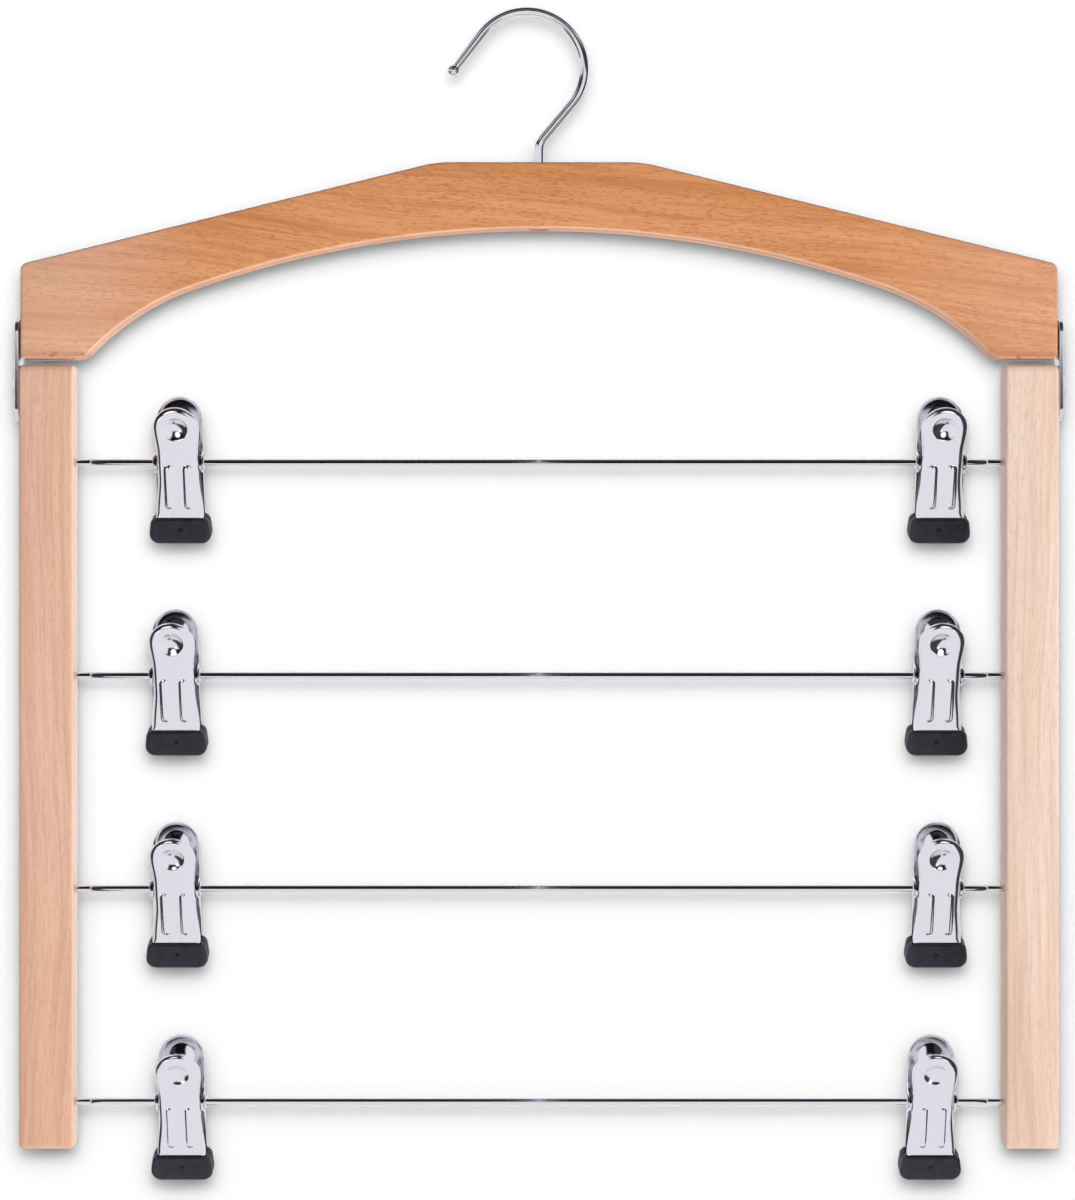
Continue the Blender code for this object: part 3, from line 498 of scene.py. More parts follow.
ARCH_WOOD = beech("arch_beech_lacquer", "arch_beech", "X", ARCH_SHADES, (3.1, 0.4, 1.7), drift=0.10)
LEFT_WOOD = beech("left_rail_beech", "rail_beech", "Z", LEFT_SHADES, (0.9, 0.1, 5.2), painted_light_side=True)
RIGHT_WOOD = beech("right_rail_beech", "rail_beech", "Z", RIGHT_SHADES, (4.3, 0.7, 2.6))
WIRE_CHROME = chrome("hook_and_rod_chrome", "chrome", WIRE_COLOUR, 0.05, 0.10)
PLATE_CHROME = chrome("clip_plate_chrome", "chrome", PLATE_COLOUR, 0.10, 0.22)
STEEL = chrome("strap_and_spring_steel", "bright_steel", STEEL_COLOUR, 0.16, 0.25)
BLACK_VINYL = vinyl("black_vinyl_skin", "black_vinyl")


def soften(mesh):
    mesh.shade_smooth()
    mesh.set_sharp_from_angle(angle=CREASE)


def mesh_of(bm, name):
    bmesh.ops.remove_doubles(bm, verts=bm.verts, dist=SAME_PLACE)
    bmesh.ops.recalc_face_normals(bm, faces=bm.faces)
    mesh = bpy.data.meshes.new(name)
    bm.to_mesh(mesh)
    bm.free()
    soften(mesh)
    return mesh


def add_object(name, data, place=(0.0, 0.0, 0.0)):
    made = bpy.data.objects.new(name, data)
    made.location = place
    bpy.context.scene.collection.objects.link(made)
    return made


def piece(name, mesh, finish, body, *replaced, place=(0.0, 0.0, 0.0)):
    """Show a mesh with its finish, riding on a CAD body in place of CAD nodes."""
    if not mesh.materials:
        mesh.materials.append(finish.material)
    made = add_object(name, mesh, place)
    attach(made, body)
    if replaced:
        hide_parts(*replaced)


def arc(centre, radius, start, end, steps):
    """Points of an arc in a plane, angles in radians from the first axis."""
    angles = [start + (end - start) * i / steps for i in range(steps + 1)]
    return [(centre[0] + radius * math.cos(angle), centre[1] + radius * math.sin(angle)) for angle in angles]


def filleted(corners, closed=True, steps=8):
    """Round each corner (a, b, radius) of an outline; a radius of 0 keeps the point."""
    count = len(corners)
    points = []
    for i, (a, b, radius) in enumerate(corners):
        open_end = not closed and i in (0, count - 1)
        if radius == 0 or open_end:
            points.append((a, b))
            continue
        here = Vector((a, b))
        before = (Vector(corners[i - 1][:2]) - here).normalized()
        after = (Vector(corners[(i + 1) % count][:2]) - here).normalized()
        half = before.angle(after) / 2
        centre = here + (before + after).normalized() * radius / math.sin(half)
        first = here + before * radius / math.tan(half) - centre
        turn = (math.pi - 2 * half) * (1 if before.cross(after) < 0 else -1)
        for k in range(steps + 1):
            spot = centre + Matrix.Rotation(turn * k / steps, 2) @ first
            points.append((spot.x, spot.y))
    return points


def slab(outline, start, end, axis):
    """Bmesh of an outline of (a, b) points, extruded along Y or X between two ends."""
    low, high = sorted((start, end))
    bm = bmesh.new()
    spots = [(a, low, b) if axis == "Y" else (low, a, b) for a, b in outline]
    face = bm.faces.new([bm.verts.new(spot) for spot in spots])
    moved = bmesh.ops.extrude_face_region(bm, geom=[face])["geom"]
    shift = (0, high - low, 0) if axis == "Y" else (high - low, 0, 0)
    bmesh.ops.translate(bm, vec=shift, verts=[v for v in moved if isinstance(v, bmesh.types.BMVert)])
    return bm


def cylinder(radius, start, end, axis, centre=(0.0, 0.0)):
    """Bmesh cylinder along X or Z between two ends, its other two coordinates at centre."""
    low, high = sorted((start, end))
    middle = (low + high) / 2
    bm = bmesh.new()
    bmesh.ops.create_cone(bm, cap_ends=True, segments=ROUND_SIDES, radius1=radius, radius2=radius,
                          depth=high - low)
    if axis == "X":
        bmesh.ops.rotate(bm, matrix=Matrix.Rotation(math.pi / 2, 3, "Y"), verts=bm.verts)
    place = (middle, *centre) if axis == "X" else (*centre, middle)
    bmesh.ops.translate(bm, vec=place, verts=bm.verts)
    return bm


def finished(name, bm, edge=0.0, cuts=(), edge_segments=3, shell=0.0):
    """Mesh of a bmesh after its sheet thickness, rounded edges and cuts."""
    obj = add_object(name, mesh_of(bm, name))
    helpers = [obj]
    if shell:
        step = obj.modifiers.new("sheet", "SOLIDIFY")
        step.thickness = shell
        step.offset = -1.0
        step.use_even_offset = True
    if edge:
        step = obj.modifiers.new("edges", "BEVEL")
        step.width = edge
        step.segments = edge_segments
        step.limit_method = "ANGLE"
        step.angle_limit = BEVEL_ANGLE
    for cut in cuts:
        tool = add_object(name + "_cut", mesh_of(cut, name + "_cut"))
        helpers.append(tool)
        step = obj.modifiers.new("cut", "BOOLEAN")
        step.operation = "DIFFERENCE"
        step.object = tool
    bpy.context.view_layer.update()
    mesh = bpy.data.meshes.new_from_object(obj.evaluated_get(bpy.context.evaluated_depsgraph_get()))
    mesh.name = name
    for helper in helpers:
        old = helper.data
        bpy.data.objects.remove(helper)
        bpy.data.meshes.remove(old)
    soften(mesh)
    return mesh


def skin(rows, around=False):
    """Bmesh of quads between neighbouring rows of points; around closes each row on itself."""
    bm = bmesh.new()
    verts = [[bm.verts.new(point) for point in row] for row in rows]
    for low, high in zip(verts, verts[1:]):
        count = len(low)
        for i in range(count if around else count - 1):
            k = (i + 1) % count
            bm.faces.new((low[i], low[k], high[k], high[i]))
    return bm


def swept(name, stations, sides):
    """Round bar along stations of (point, direction, radius), closed at both ends."""
    rows = []
    angles = [2 * math.pi * i / sides for i in range(sides)]
    direction = stations[0][1].normalized()
    normal = direction.orthogonal().normalized()
    for point, heading, radius in stations:
        heading = heading.normalized()
        normal = (direction.rotation_difference(heading) @ normal).normalized()
        direction = heading
        other = heading.cross(normal)
        spokes = [normal * math.cos(angle) + other * math.sin(angle) for angle in angles]
        rows.append([point + spoke * radius for spoke in spokes])
    return mesh_of(skin(rows, around=True), name)


def headings(points):
    """Direction of a path at each of its points."""
    last = len(points) - 1
    return [(points[min(i + 1, last)] - points[max(i - 1, 0)]).normalized() for i in range(last + 1)]


def turned(name, profile, placing, closed=False):
    """Turn a profile of (radius, height) points about Z, then place it by a matrix."""
    rows = []
    for i in range(ROUND_SIDES + 1):
        angle = 2 * math.pi * i / ROUND_SIDES
        cosine, sine = math.cos(angle), math.sin(angle)
        rows.append([(radius * cosine, radius * sine, height) for radius, height in profile])
    mesh = mesh_of(skin(rows, around=closed), name)
    mesh.transform(placing)
    return mesh


def screw_piece(name, profile, side, seat_x, z, head_radius, body, *replaced):
    """Show a screw turned about X, which rises outward from seat_x, with a cross recess in its head."""
    placing = Matrix.Translation((seat_x, 0.0, z)) @ Matrix.Rotation(side * math.pi / 2, 4, "Y")
    mesh = turned(name, profile, placing)
    bm = bmesh.new()
    bm.from_mesh(mesh)
    bpy.data.meshes.remove(mesh)
    top = profile[0][1]
    arm, reach = CROSS_ARM, head_radius * CROSS_SHARE
    outline = [(-arm, -reach), (arm, -reach), (arm, -arm), (reach, -arm), (reach, arm), (arm, arm),
               (arm, reach), (-arm, reach), (-arm, arm), (-reach, arm), (-reach, -arm), (-arm, -arm)]
    outline = [(a, b + z) for a, b in outline]
    cut = slab(outline, seat_x + side * (top - CROSS_DEPTH), seat_x + side * (top + FIT), "X")
    piece(name, finished(name, bm, cuts=[cut]), STEEL, body, *replaced)


def make_hook():
    """Bent wire with a ball on its free end and an upset head under the arch."""
    centre = Vector((0.0, HOOK_CENTRE_Z))
    neck = Vector((HOOK_STEM_OFFSET, HOOK_CENTRE_Z - HOOK_NECK_DROP))
    tip = Vector((-HOOK_TIP_REACH, HOOK_CENTRE_Z - HOOK_TIP_DROP))
    to_neck = neck - centre
    to_tip = tip - centre
    start = math.atan2(to_neck.y, to_neck.x) + math.acos(HOOK_BEND / to_neck.length)
    end = math.atan2(to_tip.y, to_tip.x) % (2 * math.pi) - math.acos(HOOK_BEND / to_tip.length)
    bend = arc(centre, HOOK_BEND, start, end, HOOK_BEND_STEPS)
    head_low = CURVE_TOP_Z + FIT
    head_high = head_low + HOOK_HEAD_THICKNESS
    corners = [(HOOK_STEM_OFFSET, head_high + HOOK_HEAD_EDGE, 0), (*neck, HOOK_NECK_BEND), (*bend[0], 0)]
    stem = filleted(corners, closed=False, steps=16)
    path = [Vector((x, 0.0, z)) for x, z in stem[:-1] + bend]
    up = Vector((0, 0, 1))
    flat = HOOK_HEAD_RADIUS - HOOK_HEAD_EDGE
    head = [(head_low, 0.0), (head_low, flat), (head_low + HOOK_HEAD_EDGE, HOOK_HEAD_RADIUS),
            (head_high - HOOK_HEAD_EDGE, HOOK_HEAD_RADIUS), (head_high, flat), (head_high, WIRE_RADIUS)]
    stations = [(Vector((HOOK_STEM_OFFSET, 0.0, height)), up, radius) for height, radius in head]
    directions = headings(path)
    directions[0] = up
    stations += [(point, heading, WIRE_RADIUS) for point, heading in zip(path, directions)]
    last = Vector((tip.x, 0.0, tip.y))
    straight = (last - path[-1]).normalized()
    meet = math.acos(WIRE_RADIUS / HOOK_BALL_RADIUS)
    for i in range(BALL_STEPS + 1):
        angle = (math.pi - meet) * (1 - i / BALL_STEPS)
        along = HOOK_BALL_RADIUS * math.cos(angle)
        stations.append((last + straight * along, straight, HOOK_BALL_RADIUS * math.sin(angle)))
    piece("wire_hook", swept("wire_hook", stations, HOOK_SIDES), WIRE_CHROME, "hook", "hook")


def arch_outline():
    """Outline of the arch about its own middle."""
    drop = ARCH_CURVE_RADIUS - math.sqrt(ARCH_CURVE_RADIUS ** 2 - ARCH_CURVE_HALF ** 2)
    lean = math.asin(ARCH_CURVE_HALF / ARCH_CURVE_RADIUS)
    haunch = (ARCH_CURVE_HALF - ARCH_HAUNCH_RADIUS * math.sin(lean),
              CURVE_TOP_Z - drop - ARCH_HAUNCH_RADIUS * math.cos(lean))
    foot_lean = math.acos((ARCH_FOOT_Z - haunch[1]) / ARCH_HAUNCH_RADIUS)
    up = math.pi / 2
    tight = arc(haunch, ARCH_HAUNCH_RADIUS, up - foot_lean, up - lean, ARCH_HAUNCH_STEPS)
    long = arc((0.0, CURVE_TOP_Z - ARCH_CURVE_RADIUS), ARCH_CURVE_RADIUS, up - lean, up, ARCH_CURVE_STEPS)
    half = ARCH_WIDTH / 2
    right = filleted([(0.0, ARCH_TOP_Z, 0), (ARCH_CROWN_HALF, ARCH_TOP_Z, ARCH_CROWN_FILLET),
                      (half, SHOULDER_Z, ARCH_SHOULDER_FILLET), (half, ARCH_FOOT_Z, ARCH_END_FILLET),
                      (*tight[0], ARCH_HEEL_FILLET), (*tight[2], 0)], closed=False)
    right += tight[3:] + long[1:]
    return right + [(-x, z) for x, z in reversed(right[1:-1])]


def fixing_heights():
    middle = ARCH_FOOT_Z + STRAP_ON_ARCH / 2
    return (middle - FIXING_SPACING / 2, middle + FIXING_SPACING / 2)


def make_arch():
    half = ARCH_THICKNESS / 2
    cuts = [cylinder(WIRE_RADIUS + FIT, CURVE_TOP_Z - FIT, ARCH_TOP_Z + FIT, "Z"),
            cylinder(HOOK_HEAD_RADIUS + FIT, CURVE_TOP_Z - HOOK_HEAD_THICKNESS,
                     CURVE_TOP_Z + HOOK_HEAD_THICKNESS + 2 * FIT, "Z")]
    inner, outer = ARCH_WIDTH / 2 - FIXING_SHANK_DEPTH - FIT, ARCH_WIDTH / 2 + FIT
    for side in SIDES.values():
        for z in fixing_heights():
            cuts.append(cylinder(FIXING_SHANK_RADIUS + FIT, side * inner, side * outer, "X", (0.0, z)))
    mesh = finished("beech_arch", slab(arch_outline(), -half, half, "Y"), WOOD_EDGE, cuts)
    mesh.transform(Matrix.Translation((ARCH_X, 0.0, 0.0)))
    piece("beech_arch", mesh, ARCH_WOOD, "arch", "arch")


def make_rail(side_name, side, finish):
    """Upright rail with rounded ends; its holes take the rods and the pivot screw."""
    low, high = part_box("rail_" + side_name)
    outline = filleted([(low.y, high.z, RAIL_END_ROUND), (high.y, high.z, RAIL_END_ROUND),
                        (high.y, low.z, RAIL_END_ROUND), (low.y, low.z, RAIL_END_ROUND)])
    inner, outer = (high.x, low.x) if side < 0 else (low.x, high.x)
    pivot_end = outer - side * (PIVOT_SHANK_DEPTH + FIT)
    cuts = [cylinder(PIVOT_SHANK_RADIUS + FIT, pivot_end, outer + side * FIT, "X", (0.0, PIVOT_Z))]
    for z in ROD_HEIGHTS:
        seat = inner + side * ROD_SEAT_DEPTH
        cuts.append(cylinder(ROD_RADIUS + FIT, inner - side * FIT, seat, "X", (0.0, z)))
    mesh = finished("beech_rail_" + side_name, slab(outline, low.x, high.x, "X"), WOOD_EDGE, cuts)
    piece("beech_rail_" + side_name, mesh, finish, "frame", "rail_" + side_name)


def make_strap(side_name, side):
    """Flat steel strap with two countersunk screws in the arch; it carries the pivot screw."""
    low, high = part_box("strap_" + side_name)
    half = (high.y - low.y) / 2
    outline = arc((0.0, high.z - half), half, 0.0, math.pi, STRAP_END_STEPS)
    outline += arc((0.0, low.z + half), half, math.pi, 2 * math.pi, STRAP_END_STEPS)
    face = ARCH_X + side * (RAIL_OUTER_HALF + FIT)
    back = face + side * STRAP_THICKNESS
    beyond = back + side * FIT
    through = (face - side * FIT, beyond)
    sunk = (back - side * FIXING_HEAD_DEPTH, beyond)
    cuts = [cylinder(PIVOT_SHANK_RADIUS + FIT, *through, "X", (0.0, PIVOT_Z))]
    for z in fixing_heights():
        cuts.append(cylinder(FIXING_SHANK_RADIUS + HEAD_GAP, *through, "X", (0.0, z)))
        cuts.append(cylinder(FIXING_HEAD_RADIUS + HEAD_GAP, *sunk, "X", (0.0, z)))
    name = "steel_strap_" + side_name
    mesh = finished(name, slab(outline, face, back, "X"), STRAP_EDGE, cuts, edge_segments=4)
    piece(name, mesh, STEEL, "arch", "strap_" + side_name)
    for z, place in zip(fixing_heights(), ("lower", "upper")):
        make_fixing_screw("fixing_screw_%s_%s" % (side_name, place), side, back, z)


def make_fixing_screw(name, side, back, z):
    """Countersunk screw with a cross recess; its head is flush with the strap."""
    top = FIXING_HEAD_PROUD
    seat = HEAD_GAP - FIXING_HEAD_DEPTH
    end = ARCH_WIDTH / 2 - FIXING_SHANK_DEPTH - side * (back - ARCH_X)
    profile = [(0.0, top), (FIXING_HEAD_RADIUS * FIXING_FLAT_SHARE, top),
               (FIXING_HEAD_RADIUS, top * FIXING_RIM_SHARE), (FIXING_HEAD_RADIUS, seat),
               (FIXING_SHANK_RADIUS, seat), (FIXING_SHANK_RADIUS, end + FIXING_SHANK_RADIUS), (0.0, end)]
    screw_piece(name, profile, side, back, z, FIXING_HEAD_RADIUS, "arch")


def make_pivot_screw(side_name, side):
    """Domed screw through the strap into the rail."""
    seat = RAIL_OUTER_HALF + 2 * FIT + STRAP_THICKNESS
    end = RAIL_OUTER_HALF - PIVOT_SHANK_DEPTH - seat
    dome = arc((0.0, 0.0), 1.0, math.pi / 2, 0.0, DOME_STEPS)
    profile = [(PIVOT_HEAD_RADIUS * a, PIVOT_HEAD_HEIGHT * b) for a, b in dome]
    profile += [(PIVOT_SHANK_RADIUS, 0.0), (PIVOT_SHANK_RADIUS, end + PIVOT_SHANK_RADIUS), (0.0, end)]
    screw_piece("domed_pivot_screw_" + side_name, profile, side, ARCH_X + side * seat, PIVOT_Z,
                PIVOT_HEAD_RADIUS, "frame", "pivot_screw_" + side_name)


def make_rod(number):
    low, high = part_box("rod_%d" % number)
    z = (low.z + high.z) / 2
    along = Vector((1, 0, 0))
    flat = ROD_RADIUS - ROD_EDGE
    profile = [(low.x, 0.0), (low.x, flat), (low.x + ROD_EDGE, ROD_RADIUS),
               (high.x - ROD_EDGE, ROD_RADIUS), (high.x, flat), (high.x, 0.0)]
    stations = [(Vector((x, 0.0, z)), along, radius) for x, radius in profile]
    name = "steel_rod_%d" % number
    piece(name, swept(name, stations, ROD_SIDES), WIRE_CHROME, "frame", "rod_%d" % number)


def ease(share):
    """Smooth rise from 0 to 1."""
    share = min(max(share, 0.0), 1.0)
    return share * share * (3 - 2 * share)


def plate_spread(z):
    """Distance of a plate's outer face from the clip's middle plane at height z."""
    end, spread = (TAB_HEIGHT, TAB_SPREAD) if z >= 0 else (-PLATE_DROP, TIP_SPREAD)
    share = z / end
    return WAIST_SPREAD + WAIST_SLOPE * z + (spread - WAIST_SPREAD - WAIST_SLOPE * end) * share * share


def plate_half(z, waist_half):
    """Half-width of a plate below the tab's centre."""
    if z > EAR_FOOT:
        return waist_half + (TAB_RADIUS - waist_half) * ease((z - EAR_FOOT) / (TAB_CENTRE - EAR_FOOT))
    if z > -EAR_FOOT:
        return waist_half
    if z > -PLATE_SHOULDER_DROP:
        share = (-EAR_FOOT - z) / (PLATE_SHOULDER_DROP - EAR_FOOT)
        return waist_half + (PLATE_SHOULDER_HALF - waist_half) * ease(share)
    share = (-PLATE_SHOULDER_DROP - z) / (PLATE_DROP - PLATE_SHOULDER_DROP)
    return PLATE_SHOULDER_HALF + (PLATE_END_HALF - PLATE_SHOULDER_HALF) * share


def rim_depth(z):
    """How far the turned rim reaches behind the face; its ears are round about the rod."""
    if abs(z) < EAR_RADIUS:
        return max(plate_spread(z) + math.sqrt(EAR_RADIUS ** 2 - z * z), RIM_DEPTH + SHEET)
    if z > 0:
        return RIM_DEPTH + SHEET * (1 - ease((z - EAR_FOOT) / (TAB_CENTRE - EAR_FOOT)))
    if z > -RIM_NARROWS_DROP:
        return RIM_DEPTH + SHEET * (1 - ease((-z - EAR_FOOT) / (RIM_NARROWS_DROP - EAR_FOOT)))
    share = ease((-z - RIM_NARROWS_DROP) / (RIM_SHALLOW_DROP - RIM_NARROWS_DROP))
    return RIM_DEPTH + (RIM_DEPTH_IN_TIP - RIM_DEPTH) * share


def relief(x, z):
    """Height of the face at a point: two raised ribs and the pressed dimple."""
    straight = min(max(z, RIB_BOTTOM + RIB_HALF_WIDTH), RIB_TOP - RIB_HALF_WIDTH)
    reach = math.hypot(abs(x) - RIB_SPACING / 2, z - straight)
    wall = (RIB_HALF_WIDTH - reach) / (RIB_HALF_WIDTH - RIB_CREST_HALF)
    wall = RIB_STRAIGHT_SHARE * min(max(wall, 0.0), 1.0) + (1 - RIB_STRAIGHT_SHARE) * ease(wall)
    reach = math.hypot(x, z - TAB_CENTRE)
    dish = 1 - (reach / DIMPLE_RADIUS) ** 2
    lip = DIMPLE_LIP / DIMPLE_RADIUS
    dish = (dish + math.sqrt(dish * dish + lip * lip)) / 2
    dish *= ease((DIMPLE_RADIUS + DIMPLE_LIP - reach) / DIMPLE_LIP)
    return RIB_HEIGHT * wall - DIMPLE_DEPTH * dish


def plate_columns():
    """Places across a face as shares of its half-width, close together over ribs and dimple."""
    fine, fine_share = 25, 0.86
    shares = [i / fine * fine_share for i in range(fine + 1)] + [0.95]
    return [-share for share in reversed(shares[1:])] + shares


def plate_heights():
    """Heights of the rows from the lower end to the tab's centre."""
    heights = [-PLATE_DROP] + [height * MM for height in LOW_PLATE_ROWS]
    for first, step, count in PLATE_ROW_RUNS:
        heights += [(first + step * i) * MM for i in range(count)]
    return heights


def plate_row(z, waist_half, fold_radius, cosine=1.0, sine=0.0):
    """Points of one row, from rim to rim: straight at height z, or turned about the tab's centre."""
    half = TAB_RADIUS if sine else plate_half(z, waist_half)
    depth = rim_depth(z)
    fold = min(fold_radius, depth - RIM_STRAIGHT)
    outer = [(half, depth), (half, (depth + fold) / 2)]
    for i in range(FOLD_STEPS + 1):
        angle = math.pi / 2 * (1 - i / FOLD_STEPS)
        outer.append((half - fold + fold * math.sin(angle), fold - fold * math.cos(angle)))
    rim = []
    for reach, behind in outer:
        height = z + reach * sine
        rim.append((reach * cosine, behind - plate_spread(height), height))
    inner = half - fold
    height = z + inner * sine
    face = []
    for share in plate_columns():
        x = share * inner * cosine
        face.append((x, -plate_spread(height) - relief(x, height), height))
    return [(-x, y, height) for x, y, height in rim] + face + rim[::-1]


def jaw_mesh(name, waist_half, fold_radius):
    """Pressed plate of a front jaw."""
    rows = [plate_row(z, waist_half, fold_radius) for z in plate_heights()]
    for i in range(TAB_STEPS + 1):
        angle = math.pi / 2 * i / TAB_STEPS
        sine = max(math.sin(angle), 1e-9)  # never 0, which means a straight row
        rows.append(plate_row(TAB_CENTRE, waist_half, fold_radius, math.cos(angle), sine))
    hole = cylinder(EAR_HOLE_RADIUS, -2 * waist_half, 2 * waist_half, "X")
    return finished(name, skin(rows), shell=SHEET, cuts=[hole])


def pad_outline():
    """Outline of a tip: narrower at its top, widest low down, with soft corners."""
    right = [(PAD_HALF - PAD_TAPER, -PAD_BOTTOM_DROP, PAD_CORNER),
             (PAD_HALF, -PAD_WIDEST_DROP, PAD_SIDE_CORNER), (PAD_TOP_HALF, -PAD_TOP_DROP, PAD_TOP_CORNER)]
    left = [(-x, z, radius) for x, z, radius in reversed(right)]
    return filleted(left + right, steps=7)


def pad_face(spot):
    """Depth of a tip's front at a spot: slightly swollen, with a small dent."""
    bulge = PAD_CROWN * max(0.0, 1 - (spot.x / PAD_HALF) ** 2)
    reach = (spot - PAD_DENT).length / PAD_DENT_RADIUS
    dent = PAD_DENT_DEPTH * (0.5 + 0.5 * math.cos(math.pi * reach)) if reach < 1 else 0.0
    return dent - plate_spread(spot.y) - PAD_WALL - bulge


def pad_ring(inset, share=1.0, lift=0.0, flat=None):
    """Ring about the dent, a share of the inset outline: behind the front by lift, or flat."""
    points = []
    for corner in pad_outline():
        away = Vector(corner) - PAD_DENT
        spot = PAD_DENT + away * ((away.length - inset) / away.length) * share
        points.append((spot.x, pad_face(spot) + lift if flat is None else flat, spot.y))
    return points


def pad_mesh(name):
    """Slip-on tip of a front jaw, with a pocket for the end of the plate."""
    back = -PAD_MEETING_GAP / 2
    rows = [pad_ring(0.0, 0.0, flat=back), pad_ring(PAD_EDGE / 2, flat=back),
            pad_ring(0.0, flat=back - PAD_EDGE / 2)]
    for i in range(PAD_EDGE_STEPS + 1):
        angle = math.pi / 2 * i / PAD_EDGE_STEPS
        rows.append(pad_ring(PAD_EDGE * (1 - math.cos(angle)), lift=PAD_EDGE * (1 - math.sin(angle))))
    rows += [pad_ring(PAD_EDGE, share) for share in PAD_FACE_SHARES]

    low, high = -PLATE_DROP - FIT, -PAD_TOP_DROP + FIT
    half = PLATE_SHOULDER_HALF + FIT
    pocket = slab([(-half, low), (half, low), (half, high), (-half, high)], -1.0, 0.0, "Y")
    for vert in pocket.verts:
        face = plate_spread(vert.co.z)
        vert.co.y = -(face + FIT) if vert.co.y < -0.5 else -(face - RIM_DEPTH_IN_TIP - FIT)
    return finished(name, skin(rows, around=True), cuts=[pocket])


def turned_back(mesh):
    """Turn a front piece of a clip into its back piece."""
    mesh.transform(Matrix.Rotation(math.pi, 4, "Z"))
    return mesh


def tube_mesh():
    """Hollow rivet about X, its ends flared over the ears of the back jaw."""
    bore = ROD_RADIUS + FIT
    shoulder = TUBE_HALF - TUBE_FLARE_THICKNESS
    flat = TUBE_HALF - TUBE_EDGE
    profile = [(bore, flat), (bore + TUBE_EDGE, TUBE_HALF), (TUBE_FLARE_RADIUS - TUBE_EDGE, TUBE_HALF),
               (TUBE_FLARE_RADIUS, flat), (TUBE_FLARE_RADIUS, shoulder), (TUBE_RADIUS, shoulder)]
    profile += [(radius, -height) for radius, height in reversed(profile)]
    return turned("pivot_tube", profile, Matrix.Rotation(math.pi / 2, 4, "Y"), closed=True)


def spring_meshes():
    """Torsion spring: its coil with the front leg, and the back leg, which turns with the back jaw.

    The coil runs on past the back leg's root, so that the two stay joined when the clip is squeezed.
    """
    leg_y = plate_spread(SPRING_LEG_HEIGHT) - SHEET - FIT - SPRING_WIRE_RADIUS
    reach = math.hypot(leg_y, SPRING_LEG_HEIGHT)
    tangent = math.sqrt(reach ** 2 - SPRING_COIL_RADIUS ** 2)
    start = math.atan2(tangent * leg_y - SPRING_COIL_RADIUS * SPRING_LEG_HEIGHT,
                       SPRING_COIL_RADIUS * leg_y + tangent * SPRING_LEG_HEIGHT)
    sweep = math.pi - 2 * start + 2 * math.pi * SPRING_WHOLE_TURNS
    steps = round(sweep / (2 * math.pi) * SPRING_TURN_STEPS)
    rise = SPRING_PITCH * sweep / (2 * math.pi)
    path = [Vector((-rise / 2, -leg_y, SPRING_LEG_HEIGHT))]
    for i in range(steps + SPRING_OVERLAP_STEPS + 1):
        angle = start + sweep * i / steps
        path.append(Vector((rise * (i / steps - 0.5), -SPRING_COIL_RADIUS * math.cos(angle),
                            -SPRING_COIL_RADIUS * math.sin(angle))))
    root = path[steps + 1]
    back_leg = [root, Vector((rise / 2, leg_y, SPRING_LEG_HEIGHT))]
    meshes = []
    for name, wire in (("torsion_spring", path), ("torsion_spring_back_leg", back_leg)):
        directions = headings(wire)
        stations = [(wire[0], directions[0], 0.0)]
        stations += [(point, heading, SPRING_WIRE_RADIUS) for point, heading in zip(wire, directions)]
        stations.append((wire[-1], directions[-1], 0.0))
        meshes.append(swept(name, stations, SPRING_SIDES))
    return meshes


def make_clips():
    """Eight clips that share their meshes; each leans, tabs to the front."""
    spring, back_leg = spring_meshes()
    kinds = {
        "front_jaw": (jaw_mesh("front_jaw", FRONT_WAIST_HALF, FRONT_FOLD), PLATE_CHROME, "front"),
        "back_jaw": (turned_back(jaw_mesh("back_jaw", BACK_WAIST_HALF, BACK_FOLD)), PLATE_CHROME, "back"),
        "front_pad": (pad_mesh("front_pad"), BLACK_VINYL, "front"),
        "back_pad": (turned_back(pad_mesh("back_pad")), BLACK_VINYL, "back"),
        "pivot_tube": (tube_mesh(), STEEL, "tube"),
        "spring": (spring, STEEL, "front"),
    }
    for mesh in [back_leg] + [kind[0] for kind in kinds.values()]:
        mesh.transform(Matrix.Rotation(CLIP_LEAN, 4, "X"))
    for number, z in enumerate(ROD_HEIGHTS, start=1):
        for side_name in SIDES:
            clip = "clip_%d_%s" % (number, side_name)
            low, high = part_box(clip + "_pivot_tube")
            middle = ((low.x + high.x) / 2, 0.0, z)
            for kind, (mesh, finish, body) in kinds.items():
                piece("fine_%s_%s" % (clip, kind), mesh, finish, clip + "_" + body, clip + "_" + kind,
                      place=middle)
            piece("fine_%s_spring_back_leg" % clip, back_leg, STEEL, clip + "_back", place=middle)


def make_object():
    make_hook()
    make_arch()
    for side_name, side in SIDES.items():
        make_strap(side_name, side)
        make_pivot_screw(side_name, side)
        make_rail(side_name, side, LEFT_WOOD if side < 0 else RIGHT_WOOD)
    for number in range(1, 5):
        make_rod(number)
    make_clips()


def stage_plane(name, centre, facing, size, material, round_edge=False):
    """Flat stage piece of a width and a height, its front along facing."""
    bm = bmesh.new()
    if round_edge:
        bmesh.ops.create_circle(bm, cap_ends=True, segments=32, radius=0.5)
    else:
        bmesh.ops.create_grid(bm, x_segments=1, y_segments=1, size=0.5)
    bmesh.ops.scale(bm, vec=(*size, 1.0), verts=bm.verts)
    mesh = bpy.data.meshes.new(name)
    bm.to_mesh(mesh)
    bm.free()
    mesh.materials.append(material)
    made = add_object(name, mesh, centre)
    made.rotation_mode = "QUATERNION"
    made.rotation_quaternion = Vector(facing).to_track_quat("Z", "Y")
    return made


def seen_only_by(obj, kind):
    for ray in ("camera", "diffuse", "glossy", "transmission", "shadow", "volume_scatter"):
        setattr(obj, "visible_" + ray, ray == kind)


